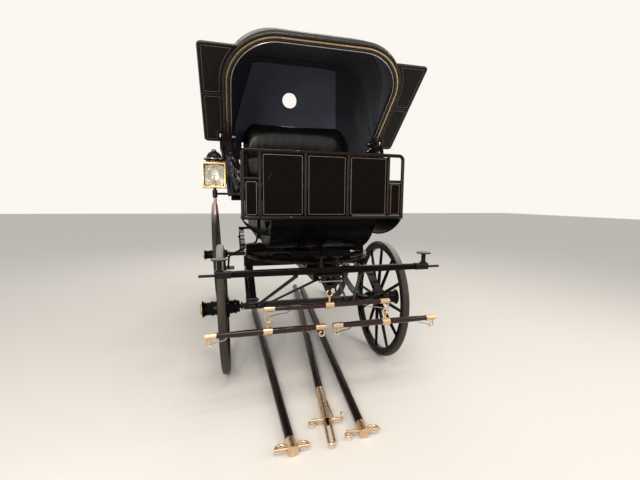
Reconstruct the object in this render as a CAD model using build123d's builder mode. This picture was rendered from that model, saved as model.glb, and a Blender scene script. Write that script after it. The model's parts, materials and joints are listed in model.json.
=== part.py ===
"""Hooded driving phaeton with its draught bars hung up and its three poles laid beneath it.

Millimetres. Z is up, the ground is Z = 0, the front of the carriage faces -Y and +X is its
near side. The origin is on the ground in the middle of the whole outline. Places along Y are
written as the distance behind the front axle, fy, and every pair of pieces is mirrored in X.
"""
from build123d import *
import math
import os

os.makedirs("parts", exist_ok=True)

# Wheels and axles
front_wheel_d = 950
rear_wheel_d = 1250
front_half_track = 632
rear_half_track = 724
wheelbase = 1690
wheel_tilt = 2.0
tyre_width = 46
tyre_depth = 20
tyre_crown = 60
felloe_width = 42
felloe_depth = 46
spoke_hub_r = 15
spoke_rim_r = 11
front_spokes = 12
rear_spokes = 14
nave_r = 60
nave_out = 152
nave_in = 118
nave_neck_r = 48
nave_lip_r = 64
hub_cap_out = 168
hub_cap_r = 46
arm_r = 18
arm_clearance = 0.3
hub_gap = 6
axle_depth = 44
axle_width = 40

# Whole outline along Y, which places the front axle in the frame
pole_lead = 1053
fy = -(wheelbase + rear_wheel_d / 2 - pole_lead) / 2
ry = fy + wheelbase

# Springs
spring_x = 440
spring_width = 44
leaf_thick = 7
leaf_count = 4
front_spring_length = 840
rear_spring_length = 900
front_spring_opening = 235
rear_spring_opening = 225
spring_eye_r = 13
spring_block = 70

# Fore-carriage and turntable
bed_width = 70
bed_overhang = 8
futchell_x = 74
futchell_width = 44
futchell_depth = 45
futchell_drop = 24
ring_outer_r = 470
ring_width = 45
ring_thick = 12
ring_gap = 1
kingpin_r = 14
kingpin_clearance = 0.3
top_bed_height = 64
rear_bed_height = 28
rear_bed_width = 72

# Splinter bar and what it carries
bar_lead = 655
bar_half_length = 648
bar_width = 46
bar_depth = 42
bar_tip_scale = 0.86
bar_cap_length = 74
outer_bolt_x = 636
outer_bolt_r = 14
outer_bolt_head_r = 45
outer_bolt_height = 62
inner_bolt_x = 50
inner_bolt_r = 8
inner_bolt_head_r = 31
inner_bolt_height = 58
bolt_head_thick = 7
tongue_length = 100
tongue_r = 8
socket_bore_r = 30
socket_wall = 8
socket_length = 190
socket_front = 690
stay_r = 11
stay_top_x = 205

# Body; each rise is above the underside of the body, which rests on the rear springs
body_half_width = 335
panel_thick = 20
floor_thick = 24
toe_rise = 213
toe_back = 300
tub_back = 300
boot_half_width = 352
boot_overhang = 180
boot_height = 285
boot_tail = 130
boot_tail_height = 228
seat_half_width = 560
seat_front = -130
seat_back = 600
seat_rise = 345
seat_board = 24
arm_height = 310
arm_thick = 24
seat_corner_r = 230
cushion_height = 150
roll_height = 635
roll_thick = 118
roll_half = 476
roll_lead = 112
cushion_gap = 4

# Dashboard
dash_lead = 590
dash_rise = 221
dash_height = 387
dash_half_width = 500
dash_post_x = 402
dash_rib_x = 133
dash_rod_r = 11
dash_corner_r = 26
handle_rod_r = 9
handle_rise = 226
dash_panel_thick = 8
whip_rise = 30
whip_length = 210
whip_bore_r = 8
whip_bore_depth = 160

# Hood
pivot_back = 80
pivot_rise = 445
hood_half_width = 594
hood_reach = 778
hood_front_lean = 49.5
crown_back = 350
crown_rise = 770
hood_rear_lean = 4
hood_back_r = 345
hood_back_slope = 16
hood_corner_r = 332
leather_thick = 5
lining_thick = 3
skin_gap = 0.4
inner_bow_leans = (16, -30)
inner_bow_foot = 160
inner_bow_depth = 16
inner_bow_width = 24
bow_outside = 8
bow_inside = 46
bow_depth = 30
bead_outset = -12
bead_width = 9
bead_depth = 5
window_rise = 475
window_r = 72
wing_reach = 735
wing_root = 440
wing_low = -30
wing_high = 678
wing_thick = 12
stay_knuckle_r = 15

# Lamp, on the right side only
lamp_x = -660
lamp_lead = 358
lamp_rise = 251
lamp_width = 136
lamp_height = 151
lamp_depth = 134
lamp_wall = 4
lamp_frame = 12
lamp_dome = 84
lamp_stem_r = 9
lamp_tail = 166
lamp_arm_rise = 141
lamp_arm_r = 7
stem_clearance = 0.5

# Lead bars
main_hinge_drop = 100
main_bar_drop = 90
main_bar_lead = 672
main_bar_half = 394
main_bar_r = 16
side_hinge_drop = 80
side_bar_x = 373
side_bar_drop = 54
side_bar_half = 350
side_bar_r = 19
bar_end_share = 0.76
wood_clearance = 0.2
wire_r = 4.5
hook_wire = 5
hook_mid_r = 11
ring_mid_r = 18
curl_mid_r = 15.5
eye_mid_r = 10
ferrule_length = 62
band_length = 52

# Groom's seat behind the hood, and the side steps
rumble_lead = 360
rumble_overhang = 80
rumble_half = 370
rumble_thick = 22
rumble_rise = 110
rail_rise = 290
arm_rail_rise = 190
rumble_rod_r = 8
rumble_pad_height = 90
step_lead = 780
step_x = 600
step_drop = 350
step_half = 60
step_length = 160
step_thick = 8
step_rod_r = 10

# Wings under the dashboard
under_wing_drop = 106
under_wing_thick = 8
under_wing_length = 430

# Iron plate round the mouth of the pole socket
mouth_half_top = 86
mouth_half_low = 32
mouth_thick = 12

# Poles that lie under the carriage: tip x, tip lead, tail x, tail behind the front axle, head
pole_tip_r = 24
pole_tail_r = 34
pole_floor_gap = 2
pole_cap_length = 74
loop_reach = 94
loop_wire_r = 7
loop_bar_r = 8
loop_bar_back = 18
loop_mid_r = 32
sheath_length = 330
prong_reach = 190
pole_rows = {
    "pole_near": (109, 1000, 394, 2068, "ring"),
    "pole_middle": (-62, 862, 318, 2202, "hook"),
    "pole_off": (-290, 1040, -327, 1305, "loops"),
}

front_hub_z = (front_wheel_d / 2 - tyre_crown) * math.cos(math.radians(wheel_tilt)) + tyre_crown
rear_hub_z = (rear_wheel_d / 2 - tyre_crown) * math.cos(math.radians(wheel_tilt)) + tyre_crown
sides = (("right", -1), ("left", 1))


def save(piece, name):
    piece.part.label = name
    export_step(piece.part, f"parts/{name}.step")


def add_rod(start, end, radius):
    """A straight round bar between two points."""
    run = Vector(*end) - Vector(*start)
    with Locations(Plane(origin=start, z_dir=run).location):
        Cylinder(radius, run.length, align=(Align.CENTER, Align.CENTER, Align.MIN))


def add_bent_rod(points, bend, radius):
    """A round bar bent through points."""
    with BuildLine() as route:
        FilletPolyline(*points, radius=bend)
    with BuildSketch(Plane(origin=route.line @ 0, z_dir=route.line % 0)) as section:
        Circle(radius)
    sweep(section.sketch, path=route.line)


def add_block(x, y, z):
    """A block from three (low, high) pairs."""
    with Locations((sum(x) / 2, sum(y) / 2, sum(z) / 2)):
        Box(x[1] - x[0], y[1] - y[0], z[1] - z[0])


def add_cut(x, y, z):
    """A block taken away, from three (low, high) pairs."""
    with Locations((sum(x) / 2, sum(y) / 2, sum(z) / 2)):
        Box(x[1] - x[0], y[1] - y[0], z[1] - z[0], mode=Mode.SUBTRACT)


def add_ring(centre, normal, mid_r, wire, start=(0, 0, 1), turn=360):
    """A round wire bent to an arc about centre, starting in the direction given."""
    outward = Vector(*start).normalized()
    around = Vector(*normal)
    with BuildSketch(Plane(origin=Vector(*centre) + outward * mid_r, x_dir=outward,
                           z_dir=around.cross(outward))) as section:
        Circle(wire)
    revolve(section.sketch, axis=Axis(centre, normal), revolution_arc=turn)


# Wheels
wheel_rows = (
    ("front", fy, front_hub_z, front_wheel_d / 2, front_half_track, front_spokes),
    ("rear", ry, rear_hub_z, rear_wheel_d / 2, rear_half_track, rear_spokes),
)
for axle, wheel_y, hub_z, radius, half_track, spokes in wheel_rows:
    for side_name, side in sides:
        centre = Vector(side * half_track, wheel_y, hub_z)
        outward = Vector(side * math.cos(math.radians(wheel_tilt)), 0,
                         -math.sin(math.radians(wheel_tilt)))
        section = Plane(origin=centre, x_dir=outward, z_dir=(0, -side, 0))
        hub_line = Axis(tuple(centre), tuple(outward))
        felloe_outer = radius - tyre_depth
        felloe_inner = felloe_outer - felloe_depth
        dish = (felloe_inner - nave_r) * math.tan(math.radians(wheel_tilt))

        with BuildPart() as tyre:
            with BuildSketch(section):
                with BuildLine():
                    half = tyre_width / 2
                    shoulder = radius - tyre_crown + math.sqrt(tyre_crown**2 - half**2)
                    Polyline((-half, shoulder), (-half, felloe_outer), (half, felloe_outer),
                             (half, shoulder))
                    ThreePointArc((-half, shoulder), (0, radius), (half, shoulder))
                make_face()
            revolve(axis=hub_line)
        save(tyre, f"tyre_{axle}_{side_name}")

        with BuildPart() as wheel:
            with BuildSketch(section):
                with Locations((0, (felloe_outer + felloe_inner) / 2)):
                    RectangleRounded(felloe_width, felloe_depth, 6)
            revolve(axis=hub_line)
            with BuildSketch(section):
                with BuildLine():
                    Polyline(
                        (-nave_in, arm_r + arm_clearance), (-nave_in, nave_neck_r - 4),
                        (-96, nave_neck_r - 2), (-92, nave_neck_r + 5), (-79, nave_neck_r + 5),
                        (-75, nave_neck_r), (-dish - 26, nave_r - 6), (-dish - 26, nave_r + 16),
                        (-dish + 26, nave_r + 16), (-dish + 26, nave_r - 6), (72, nave_neck_r + 2),
                        (75, nave_neck_r + 7), (89, nave_neck_r + 7), (92, nave_neck_r),
                        (nave_out - 34, nave_neck_r), (nave_out - 14, nave_neck_r + 5),
                        (nave_out, nave_lip_r), (nave_out, arm_r + arm_clearance), close=True)
                make_face()
            revolve(axis=hub_line)
            for turn in range(spokes):
                swing = 2 * math.pi * turn / spokes
                up = section.y_dir * math.cos(swing) + section.z_dir * math.sin(swing)
                root = centre + outward * (-dish) + up * (nave_r - 4)
                tip = centre + up * (felloe_inner + 8)
                with Locations(Plane(origin=root, z_dir=tip - root).location):
                    Cone(spoke_hub_r, spoke_rim_r, (tip - root).length,
                         align=(Align.CENTER, Align.CENTER, Align.MIN))
        save(wheel, f"wheel_{axle}_{side_name}")

        with BuildPart() as hub_cap:
            with BuildSketch(section):
                with BuildLine():
                    Polyline((nave_out, 0), (nave_out, hub_cap_r), (nave_out + 6, hub_cap_r),
                             (nave_out + 9, hub_cap_r - 5), (hub_cap_out - 4, hub_cap_r - 9),
                             (hub_cap_out, hub_cap_r - 16), (hub_cap_out, 0), close=True)
                make_face()
            revolve(axis=hub_line)
        save(hub_cap, f"hub_cap_{axle}_{side_name}")


def build_axle(wheel_y, hub_z, half_track, name):
    """A square bed between the hubs with a round arm into each of them."""
    inner = half_track - nave_in - hub_gap
    with BuildPart() as axle_bar:
        add_block((-inner + 24, inner - 24), (wheel_y - axle_width / 2, wheel_y + axle_width / 2),
                  (hub_z - axle_depth / 2, hub_z + axle_depth / 2))
        for _, side in sides:
            centre = Vector(side * half_track, wheel_y, hub_z)
            outward = Vector(side * math.cos(math.radians(wheel_tilt)), 0,
                             -math.sin(math.radians(wheel_tilt)))
            start = centre - outward * (nave_in + hub_gap + 40)
            collar = centre - outward * (nave_in + hub_gap + 16)
            add_rod(start, centre + outward * (nave_out - 12), arm_r)
            add_rod(collar, collar + outward * 12, axle_depth * 0.72)
    save(axle_bar, name)


build_axle(fy, front_hub_z, front_half_track, "front_axle")
build_axle(ry, rear_hub_z, rear_half_track, "rear_axle")


def build_springs(wheel_y, hub_z, length, spring_opening, name):
    """A pair of full elliptic springs, each of two stacks of leaves joined at the eyes."""
    seat = hub_z + axle_depth / 2
    stack = leaf_thick * leaf_count
    mid_z = seat + stack + spring_opening / 2
    bow = spring_opening / 2 - spring_eye_r * 0.6
    arc_r = ((length / 2) ** 2 + bow**2) / (2 * bow)
    full = math.degrees(math.asin(length / 2 / arc_r))
    with BuildPart() as springs:
        for _, side in sides:
            for lift in (-1, 1):
                foot = mid_z + lift * spring_opening / 2
                arc_centre = (wheel_y, foot - lift * arc_r)
                inner_face = side * spring_x - spring_width / 2
                for leaf in range(leaf_count):
                    low_r = arc_r + leaf * leaf_thick
                    sweep_angle = full * (1 - 0.2 * leaf)
                    with BuildSketch(Plane.YZ.offset(inner_face)) as leaf_side:
                        with BuildLine():
                            near = CenterArc(arc_centre, low_r, lift * 90 - sweep_angle,
                                             2 * sweep_angle)
                            far = CenterArc(arc_centre, low_r + leaf_thick,
                                            lift * 90 - sweep_angle, 2 * sweep_angle)
                            Line(near @ 0, far @ 0)
                            Line(near @ 1, far @ 1)
                        make_face()
                    extrude(leaf_side.sketch, amount=spring_width)
                block_low = foot - 6 if lift > 0 else foot - stack
                add_block((inner_face - 5, inner_face + spring_width + 5),
                          (wheel_y - spring_block / 2, wheel_y + spring_block / 2),
                          (block_low, block_low + stack + 6))
            for end in (-1, 1):
                add_rod((side * spring_x - spring_width / 2 - 4, wheel_y + end * (length / 2 + 2), mid_z),
                        (side * spring_x + spring_width / 2 + 4, wheel_y + end * (length / 2 + 2), mid_z),
                        spring_eye_r + 3)
    save(springs, name)
    return mid_z + spring_opening / 2 + stack


front_spring_top = build_springs(fy, front_hub_z, front_spring_length, front_spring_opening,
                                 "front_springs")
rear_spring_top = build_springs(ry, rear_hub_z, rear_spring_length, rear_spring_opening,
                                "rear_springs")

# Heights that hang together: the body sits on the rear bed, the fore-carriage fills up to it
body_bottom = rear_spring_top + rear_bed_height
ring_low = body_bottom - top_bed_height - ring_thick
bed_top = ring_low - ring_gap - ring_thick
seat_floor = body_bottom + seat_rise
arm_top = seat_floor + arm_height
dash_bottom = body_bottom + dash_rise
dash_top = dash_bottom + dash_height
handle_z = dash_bottom + handle_rise
pivot_z = seat_floor + pivot_rise

# Fore-carriage: bed across the springs, futchells, turntable plate
futchell_top = bed_top - futchell_drop
futchell_low = futchell_top - futchell_depth
notch = futchell_x + futchell_width / 2 + 6
bed_half_length = ring_outer_r + bed_overhang
with BuildPart() as lower_bed:
    add_block((-bed_half_length, bed_half_length), (fy - bed_width / 2, fy + bed_width / 2),
              (front_spring_top, bed_top))
    with Locations((0, fy, (futchell_top + front_spring_top) / 2 - 20)):
        Box(2 * notch, bed_width + 2, futchell_top - front_spring_top + 40, mode=Mode.SUBTRACT)
    with Locations((0, fy, bed_top)):
        Hole(kingpin_r + kingpin_clearance)
save(lower_bed, "lower_bed")

with BuildPart() as turntable_plate:
    with BuildSketch(Plane.XY.offset(bed_top)):
        with Locations((0, fy)):
            Circle(ring_outer_r)
            Circle(ring_outer_r - ring_width, mode=Mode.SUBTRACT)
    extrude(amount=ring_thick)
save(turntable_plate, "turntable_plate")

with BuildPart() as futchells:
    for side in (-1, 1):
        low_x = side * futchell_x - futchell_width / 2
        add_block((low_x, low_x + futchell_width), (fy - bar_lead + 6, fy + ring_outer_r),
                  (futchell_low, futchell_top))
    for end in (-1, 1):
        cross_y = fy + end * (ring_outer_r - ring_width / 2)
        add_block((-notch + 6, notch - 6), (cross_y - 20, cross_y + 20), (futchell_top, bed_top))
save(futchells, "futchells")

with BuildPart() as top_bed:
    with BuildSketch(Plane.XY.offset(ring_low)):
        with Locations((0, fy)):
            Circle(ring_outer_r)
            Circle(ring_outer_r - ring_width, mode=Mode.SUBTRACT)
    extrude(amount=ring_thick)
    add_block((-ring_outer_r + 8, ring_outer_r - 8), (fy - 45, fy + 45),
              (ring_low + ring_thick, body_bottom))
    for end in (-1, 1):
        cross_y = fy + end * (ring_outer_r - ring_width / 2)
        add_block((-200, 200), (cross_y - 20, cross_y + 20), (ring_low + ring_thick, body_bottom))
    with Locations((0, fy, futchell_top - 30)):
        Cylinder(kingpin_r, body_bottom - futchell_top + 30,
                 align=(Align.CENTER, Align.CENTER, Align.MIN))
save(top_bed, "top_bed")

# Splinter bar: tapered towards both ends, capped with iron
bar_z = futchell_top + bar_depth / 2
with BuildPart() as splinter_bar:
    for _, side in sides:
        with BuildSketch(Plane.YZ):
            with Locations((fy - bar_lead, bar_z)):
                RectangleRounded(bar_width, bar_depth, 12)
        with BuildSketch(Plane.YZ.offset(side * (bar_half_length - bar_cap_length))):
            with Locations((fy - bar_lead, bar_z)):
                RectangleRounded(bar_width * bar_tip_scale, bar_depth * bar_tip_scale, 10)
        loft()
save(splinter_bar, "splinter_bar")

bar_top = bar_z + bar_depth / 2
bolt_rows = (
    (outer_bolt_x, outer_bolt_r, outer_bolt_head_r, outer_bolt_height),
    (inner_bolt_x, inner_bolt_r, inner_bolt_head_r, inner_bolt_height),
)
with BuildPart() as roller_bolts:
    for bolt_x, bolt_r, head_r, height in bolt_rows:
        for side in (-1, 1):
            with Locations((side * bolt_x, fy - bar_lead, bar_top)):
                Cylinder(bolt_r, height, align=(Align.CENTER, Align.CENTER, Align.MIN))
                Cylinder(bolt_r + 8, 8, align=(Align.CENTER, Align.CENTER, Align.MIN))
            with Locations((side * bolt_x, fy - bar_lead, bar_top + height)):
                Cylinder(head_r, bolt_head_thick, align=(Align.CENTER, Align.CENTER, Align.MIN))
    for side in (-1, 1):
        with BuildSketch(Plane.YZ.offset(side * (bar_half_length - bar_cap_length))):
            with Locations((fy - bar_lead, bar_z)):
                RectangleRounded(bar_width, bar_depth, 11)
        extrude(amount=side * (bar_cap_length + 14))
        add_rod((side * (bar_half_length + 10), fy - bar_lead, bar_z - 4),
                (side * (bar_half_length + tongue_length), fy - bar_lead, bar_z - 4), tongue_r)
save(roller_bolts, "roller_bolts")

# Pole socket under the bar, its hanger and the hook for the main lead bar
socket_z = futchell_top - socket_bore_r - socket_wall
main_hinge_z = futchell_top - main_hinge_drop
main_bar_z = main_hinge_z - main_bar_drop
side_hinge_z = main_bar_z - side_hinge_drop
side_bar_z = side_hinge_z - side_bar_drop
mouth_low = main_hinge_z + hook_wire + 10
with BuildPart() as pole_socket:
    with BuildSketch(Plane.XZ.offset(-(fy - socket_front))):
        with Locations((0, socket_z)):
            Circle(socket_bore_r + socket_wall)
            Circle(socket_bore_r, mode=Mode.SUBTRACT)
    extrude(amount=-socket_length)
    add_block((-futchell_x + futchell_width / 2 + 1, futchell_x - futchell_width / 2 - 1),
              (fy - socket_front + socket_length - 30, fy - socket_front + socket_length),
              (socket_z - 12, socket_z + 12))
    with BuildSketch(Plane.XZ.offset(-(fy - socket_front))) as mouth:
        with BuildLine():
            Polyline((-mouth_half_top, futchell_top), (mouth_half_top, futchell_top),
                     (mouth_half_low, mouth_low), (-mouth_half_low, mouth_low), close=True)
        make_face()
    extrude(mouth.sketch, amount=-mouth_thick)
    with Locations((0, fy - socket_front, socket_z)):
        with Locations(Location((0, socket_length / 2, 0), (90, 0, 0))):
            Cylinder(socket_bore_r, socket_length + 2, mode=Mode.SUBTRACT)
    hook_centre = (0, fy - main_bar_lead, main_hinge_z)
    add_ring(hook_centre, (-1, 0, 0), hook_mid_r, hook_wire, start=(0, 1, 0), turn=215)
    add_rod((0, fy - main_bar_lead + hook_mid_r, main_hinge_z),
            (0, fy - main_bar_lead + hook_mid_r, socket_z - socket_bore_r - 1), hook_wire)
save(pole_socket, "pole_socket")

# Stays from the splinter bar and the socket to the axle
with BuildPart() as stays:
    for side in (-1, 1):
        for top_x, top_lead, top_z, foot_x, stay_bar_r in (
            (stay_top_x, bar_lead, bar_z - bar_depth / 2, spring_x - 52, stay_r),
            (futchell_x, bar_lead - 60, futchell_low, spring_x - 110, stay_r - 3),
        ):
            add_rod((side * top_x, fy - top_lead, top_z - 14), (side * top_x, fy - top_lead, top_z),
                    stay_bar_r + 4)
            add_rod((side * top_x, fy - top_lead, top_z - 10),
                    (side * foot_x, fy - axle_width / 2 - 10, front_hub_z + 6), stay_bar_r)
            add_block((side * foot_x - 20, side * foot_x + 20),
                      (fy - axle_width / 2 - 18, fy - axle_width / 2),
                      (front_hub_z - 14, front_hub_z + 18))
save(stays, "stays")

# Body: a tub for the driver's feet, a long boot behind it and a wide seat across both
toe_top = body_bottom + toe_rise
toe_front = fy - dash_lead + 16
heel = fy + seat_front
tub_end = fy + tub_back
seat_low = seat_floor - seat_board
sill = seat_low - 186
toe_mid = (toe_front + 95, body_bottom + 78)
inner_half = body_half_width - panel_thick
with BuildPart() as body_tub:
    with BuildSketch(Plane.YZ):
        with BuildLine():
            ThreePointArc((toe_front, toe_top), toe_mid, (fy - toe_back, body_bottom))
            Polyline((fy - toe_back, body_bottom), (tub_end, body_bottom), (tub_end, seat_low),
                     (heel, seat_low), (heel, seat_low - 90))
            ThreePointArc((heel, seat_low - 90), (heel - 26, seat_low - 160), (heel - 90, sill))
            Line((heel - 90, sill), (heel - 190, sill))
            ThreePointArc((heel - 190, sill), (toe_front + 110, toe_top - 40),
                          (toe_front, toe_top))
        make_face()
    extrude(amount=body_half_width, both=True)
    with BuildSketch(Plane.YZ):
        with BuildLine():
            Polyline((toe_front + 24, seat_low), (toe_front + 24, toe_top))
            ThreePointArc((toe_front + 24, toe_top), (toe_mid[0] + 18, toe_mid[1] + 18),
                          (fy - toe_back + 12, body_bottom + floor_thick))
            Polyline((fy - toe_back + 12, body_bottom + floor_thick),
                     (heel - panel_thick, body_bottom + floor_thick),
                     (heel - panel_thick, seat_low), (toe_front + 24, seat_low))
        make_face()
    extrude(amount=inner_half, both=True, mode=Mode.SUBTRACT)
    add_cut((-inner_half, inner_half), (heel, tub_end - panel_thick),
            (body_bottom + floor_thick, seat_low + 1))
save(body_tub, "body_tub")

boot_inner = boot_half_width - panel_thick
boot_end = ry + boot_overhang
boot_top = body_bottom + boot_height
boot_flat = boot_end - boot_tail
with BuildPart() as boot:
    with BuildSketch(Plane.YZ):
        with BuildLine():
            Polyline((tub_end, body_bottom), (boot_flat, body_bottom))
            ThreePointArc((boot_flat, body_bottom),
                          (boot_end - boot_tail * 0.28, body_bottom + boot_tail_height * 0.38),
                          (boot_end, body_bottom + boot_tail_height))
            Polyline((boot_end, body_bottom + boot_tail_height), (boot_end - 14, boot_top),
                     (fy + seat_back, boot_top), (fy + seat_back, seat_low), (tub_end, seat_low),
                     (tub_end, body_bottom))
        make_face()
    extrude(amount=boot_half_width, both=True)
    add_cut((-boot_inner, boot_inner), (tub_end + panel_thick, fy + seat_back - panel_thick),
            (body_bottom + floor_thick, seat_low + 1))
    add_cut((-boot_inner, boot_inner), (fy + seat_back, boot_flat),
            (body_bottom + floor_thick, boot_top - panel_thick))
save(boot, "boot")

# Seat: a board and one panel bent round the back, its top edge swept down to the front
seat_rear = fy + seat_back
with BuildPart() as seat_shell:
    for inset, low, how in ((0, seat_low, Mode.ADD), (arm_thick, seat_floor, Mode.SUBTRACT)):
        with BuildSketch(Plane.XY.offset(low)) as plan:
            with Locations((0, (heel + seat_rear) / 2 - (inset > 0) * inset)):
                Rectangle(2 * (seat_half_width - inset), seat_rear - heel)
            fillet(plan.vertices().group_by(Axis.Y)[-1], radius=seat_corner_r - inset)
        extrude(amount=arm_top + 1 - low, mode=how)
    with BuildSketch(Plane.YZ):
        with BuildLine():
            Line((heel - 1, seat_floor + 30), (heel + 20, seat_floor + 60))
            ThreePointArc((heel + 20, seat_floor + 60), (heel + 70, seat_floor + 150),
                          (heel + 200, arm_top - 110))
            ThreePointArc((heel + 200, arm_top - 110), (heel + 480, arm_top - 70),
                          (seat_rear + 1, arm_top))
            Polyline((seat_rear + 1, arm_top), (seat_rear + 1, arm_top + 40),
                     (heel - 1, arm_top + 40), (heel - 1, seat_floor + 30))
        make_face()
    extrude(amount=seat_half_width + 1, both=True, mode=Mode.SUBTRACT)
save(seat_shell, "seat_shell")

cushion_top = seat_floor + cushion_height
pad_half = seat_half_width - arm_thick - 12
with BuildPart() as seat_cushion:
    add_block((-pad_half, pad_half), (heel + 12, seat_rear - arm_thick - 116),
              (seat_floor + 0.4, cushion_top))
    rear_corners = seat_cushion.edges().filter_by(Axis.Z).group_by(Axis.Y)[-1]
    fillet(rear_corners, radius=seat_corner_r / 2)
    fillet(seat_cushion.edges().group_by(Axis.Z)[-1], radius=34)
save(seat_cushion, "seat_cushion")

back_roll_top = seat_floor + roll_height
roll_rear = seat_rear - roll_lead
with BuildPart() as back_roll:
    with BuildSketch(Plane.YZ.offset(-roll_half)):
        with BuildLine():
            crest = (roll_rear - roll_thick * 0.47, back_roll_top)
            nape = (roll_rear, back_roll_top - roll_thick * 0.5)
            waist = (roll_rear - roll_thick * 0.88, back_roll_top - roll_thick * 1.85)
            Polyline(nape, (roll_rear + roll_thick * 0.17, arm_top),
                     (roll_rear + roll_thick * 0.17, cushion_top + cushion_gap),
                     (roll_rear - roll_thick * 0.76, cushion_top + cushion_gap), waist)
            ThreePointArc(waist, (roll_rear - roll_thick, back_roll_top - roll_thick * 0.5), crest)
            ThreePointArc(crest, (roll_rear - roll_thick * 0.12,
                                  back_roll_top - roll_thick * 0.15), nape)
        make_face()
    extrude(amount=2 * roll_half)
save(back_roll, "back_roll")

# Dashboard: iron rails and posts with leather panels between them
dash_y = fy - dash_lead
with BuildPart() as dash_frame:
    add_bent_rod(((-dash_half_width, dash_y, dash_bottom - 8), (-dash_half_width, dash_y, dash_top),
                  (dash_half_width, dash_y, dash_top), (dash_half_width, dash_y, dash_bottom - 8)),
                 dash_corner_r, dash_rod_r)
    add_rod((-dash_half_width, dash_y, dash_bottom), (dash_half_width, dash_y, dash_bottom),
            dash_rod_r - 1)
    for side in (-1, 1):
        for upright in (dash_post_x, dash_rib_x):
            add_rod((side * upright, dash_y, dash_bottom), (side * upright, dash_y, dash_top),
                    dash_rod_r - 1)
        add_rod((side * dash_post_x, dash_y, handle_z), (side * dash_half_width, dash_y, handle_z),
                handle_rod_r)
save(dash_frame, "dash_frame")

panel_gap = 0.4
panel_rows = (
    (-dash_post_x, -dash_rib_x, dash_top - dash_rod_r),
    (-dash_rib_x, dash_rib_x, dash_top - dash_rod_r),
    (dash_rib_x, dash_post_x, dash_top - dash_rod_r),
    (-dash_half_width, -dash_post_x, handle_z - handle_rod_r),
    (dash_post_x, dash_half_width, handle_z - handle_rod_r),
)
with BuildPart() as dash_leather:
    for low_x, high_x, high_z in panel_rows:
        add_block((low_x + dash_rod_r + panel_gap, high_x - dash_rod_r - panel_gap),
                  (dash_y - dash_panel_thick / 2, dash_y + dash_panel_thick / 2),
                  (dash_bottom + dash_rod_r + panel_gap, high_z - panel_gap))
save(dash_leather, "dash_leather")

with BuildPart() as whip_socket:
    socket_x = -dash_half_width + 20
    whip_mouth = dash_top + whip_rise
    with Locations((socket_x, dash_y + 24, whip_mouth - whip_length)):
        Cylinder(12, whip_length, align=(Align.CENTER, Align.CENTER, Align.MIN))
    with Locations((socket_x, dash_y + 24, whip_mouth - 5)):
        Cylinder(14, 10)
    with Locations((socket_x, dash_y + 24, whip_mouth)):
        Hole(whip_bore_r, depth=whip_bore_depth)
    add_block((socket_x - 24, socket_x + 6), (dash_y + dash_rod_r - 3, dash_y + 16),
              (handle_z + 20, handle_z + 34))
save(whip_socket, "whip_socket")

with BuildPart() as under_wings:
    wing_top = dash_bottom - 12
    root_z = dash_bottom - under_wing_drop
    belly_x = body_half_width + 0.7 * (dash_half_width - body_half_width)
    belly_z = dash_bottom - under_wing_drop * 0.7
    for side in (-1, 1):
        with BuildSketch(Plane.XZ.offset(-(toe_front - 10))):
            with BuildLine():
                outer = ThreePointArc((side * (dash_half_width + 6), wing_top),
                                      (side * belly_x, belly_z),
                                      (side * (body_half_width + 1), root_z))
                inner = ThreePointArc((side * (dash_half_width + 6 - under_wing_thick), wing_top),
                                      (side * (belly_x - 5), belly_z + under_wing_thick),
                                      (side * (body_half_width + 1), root_z + under_wing_thick))
                Line(outer @ 0, inner @ 0)
                Line(outer @ 1, inner @ 1)
            make_face()
        extrude(amount=-under_wing_length)
save(under_wings, "under_wings")

# Hood: a leather skin and a cloth lining under one outline, turned about the pivot line
pivot = Vector(0, fy + pivot_back, pivot_z)
lean = math.radians(hood_front_lean)
bow_up = Vector(0, -math.sin(lean), math.cos(lean))
bow_plane = Plane(origin=pivot, x_dir=(1, 0, 0), z_dir=(0, -bow_up.Z, bow_up.Y))
bow_head = pivot + bow_up * hood_reach
crown = Vector(0, fy + crown_back, pivot_z + crown_rise)
crown_rise_y = crown.Y - bow_head.Y
crown_rise_z = crown.Z - bow_head.Z
roof_r = (crown_rise_y**2 + crown_rise_z**2) / (2 * crown_rise_z)
roof_centre = crown - Vector(0, 0, roof_r)


def hood_mass(inset, past=0):
    """The solid inside the hood's outline, drawn in by inset and run past its open sides."""
    rear_angle = 90 - hood_rear_lean
    rear = math.radians(rear_angle)
    back_centre = roof_centre + Vector(0, math.cos(rear), math.sin(rear)) * (roof_r - hood_back_r)
    to_pivot = pivot - roof_centre
    down = to_pivot.dot(bow_up)
    reach = math.sqrt(down**2 - to_pivot.dot(to_pivot) + (roof_r - inset) ** 2) - down
    head = pivot + bow_up * reach - roof_centre
    front_turn = math.degrees(math.atan2(head.Z, head.Y)) + math.degrees(past / roof_r) * 1.5
    foot = pivot - bow_up * 20
    front_foot = (foot.Y - past * bow_up.Z, foot.Z + past * bow_up.Y - past)
    with BuildPart() as mass:
        with BuildSketch(Plane.YZ):
            with BuildLine():
                roof = CenterArc((roof_centre.Y, roof_centre.Z), roof_r - inset, rear_angle,
                                 front_turn - rear_angle)
                back = CenterArc((back_centre.Y, back_centre.Z), hood_back_r - inset,
                                 -hood_back_slope, rear_angle + hood_back_slope)
                fall = (back @ 0).Y - (arm_top - past)
                back_foot = ((back @ 0).X - fall * math.tan(math.radians(hood_back_slope)),
                             arm_top - past)
                Polyline(back @ 0, back_foot, front_foot, roof @ 1)
            make_face()
        extrude(amount=hood_half_width - inset, both=True)
        rounds = mass.edges().filter_by(GeomType.CIRCLE)
        uprights = mass.edges().filter_by(GeomType.LINE).filter_by(Axis.X, reverse=True)
        rounds = rounds + uprights.group_by(Axis.Y)[-1]
        fillet(rounds, radius=hood_corner_r - inset)
    return mass.part


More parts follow.
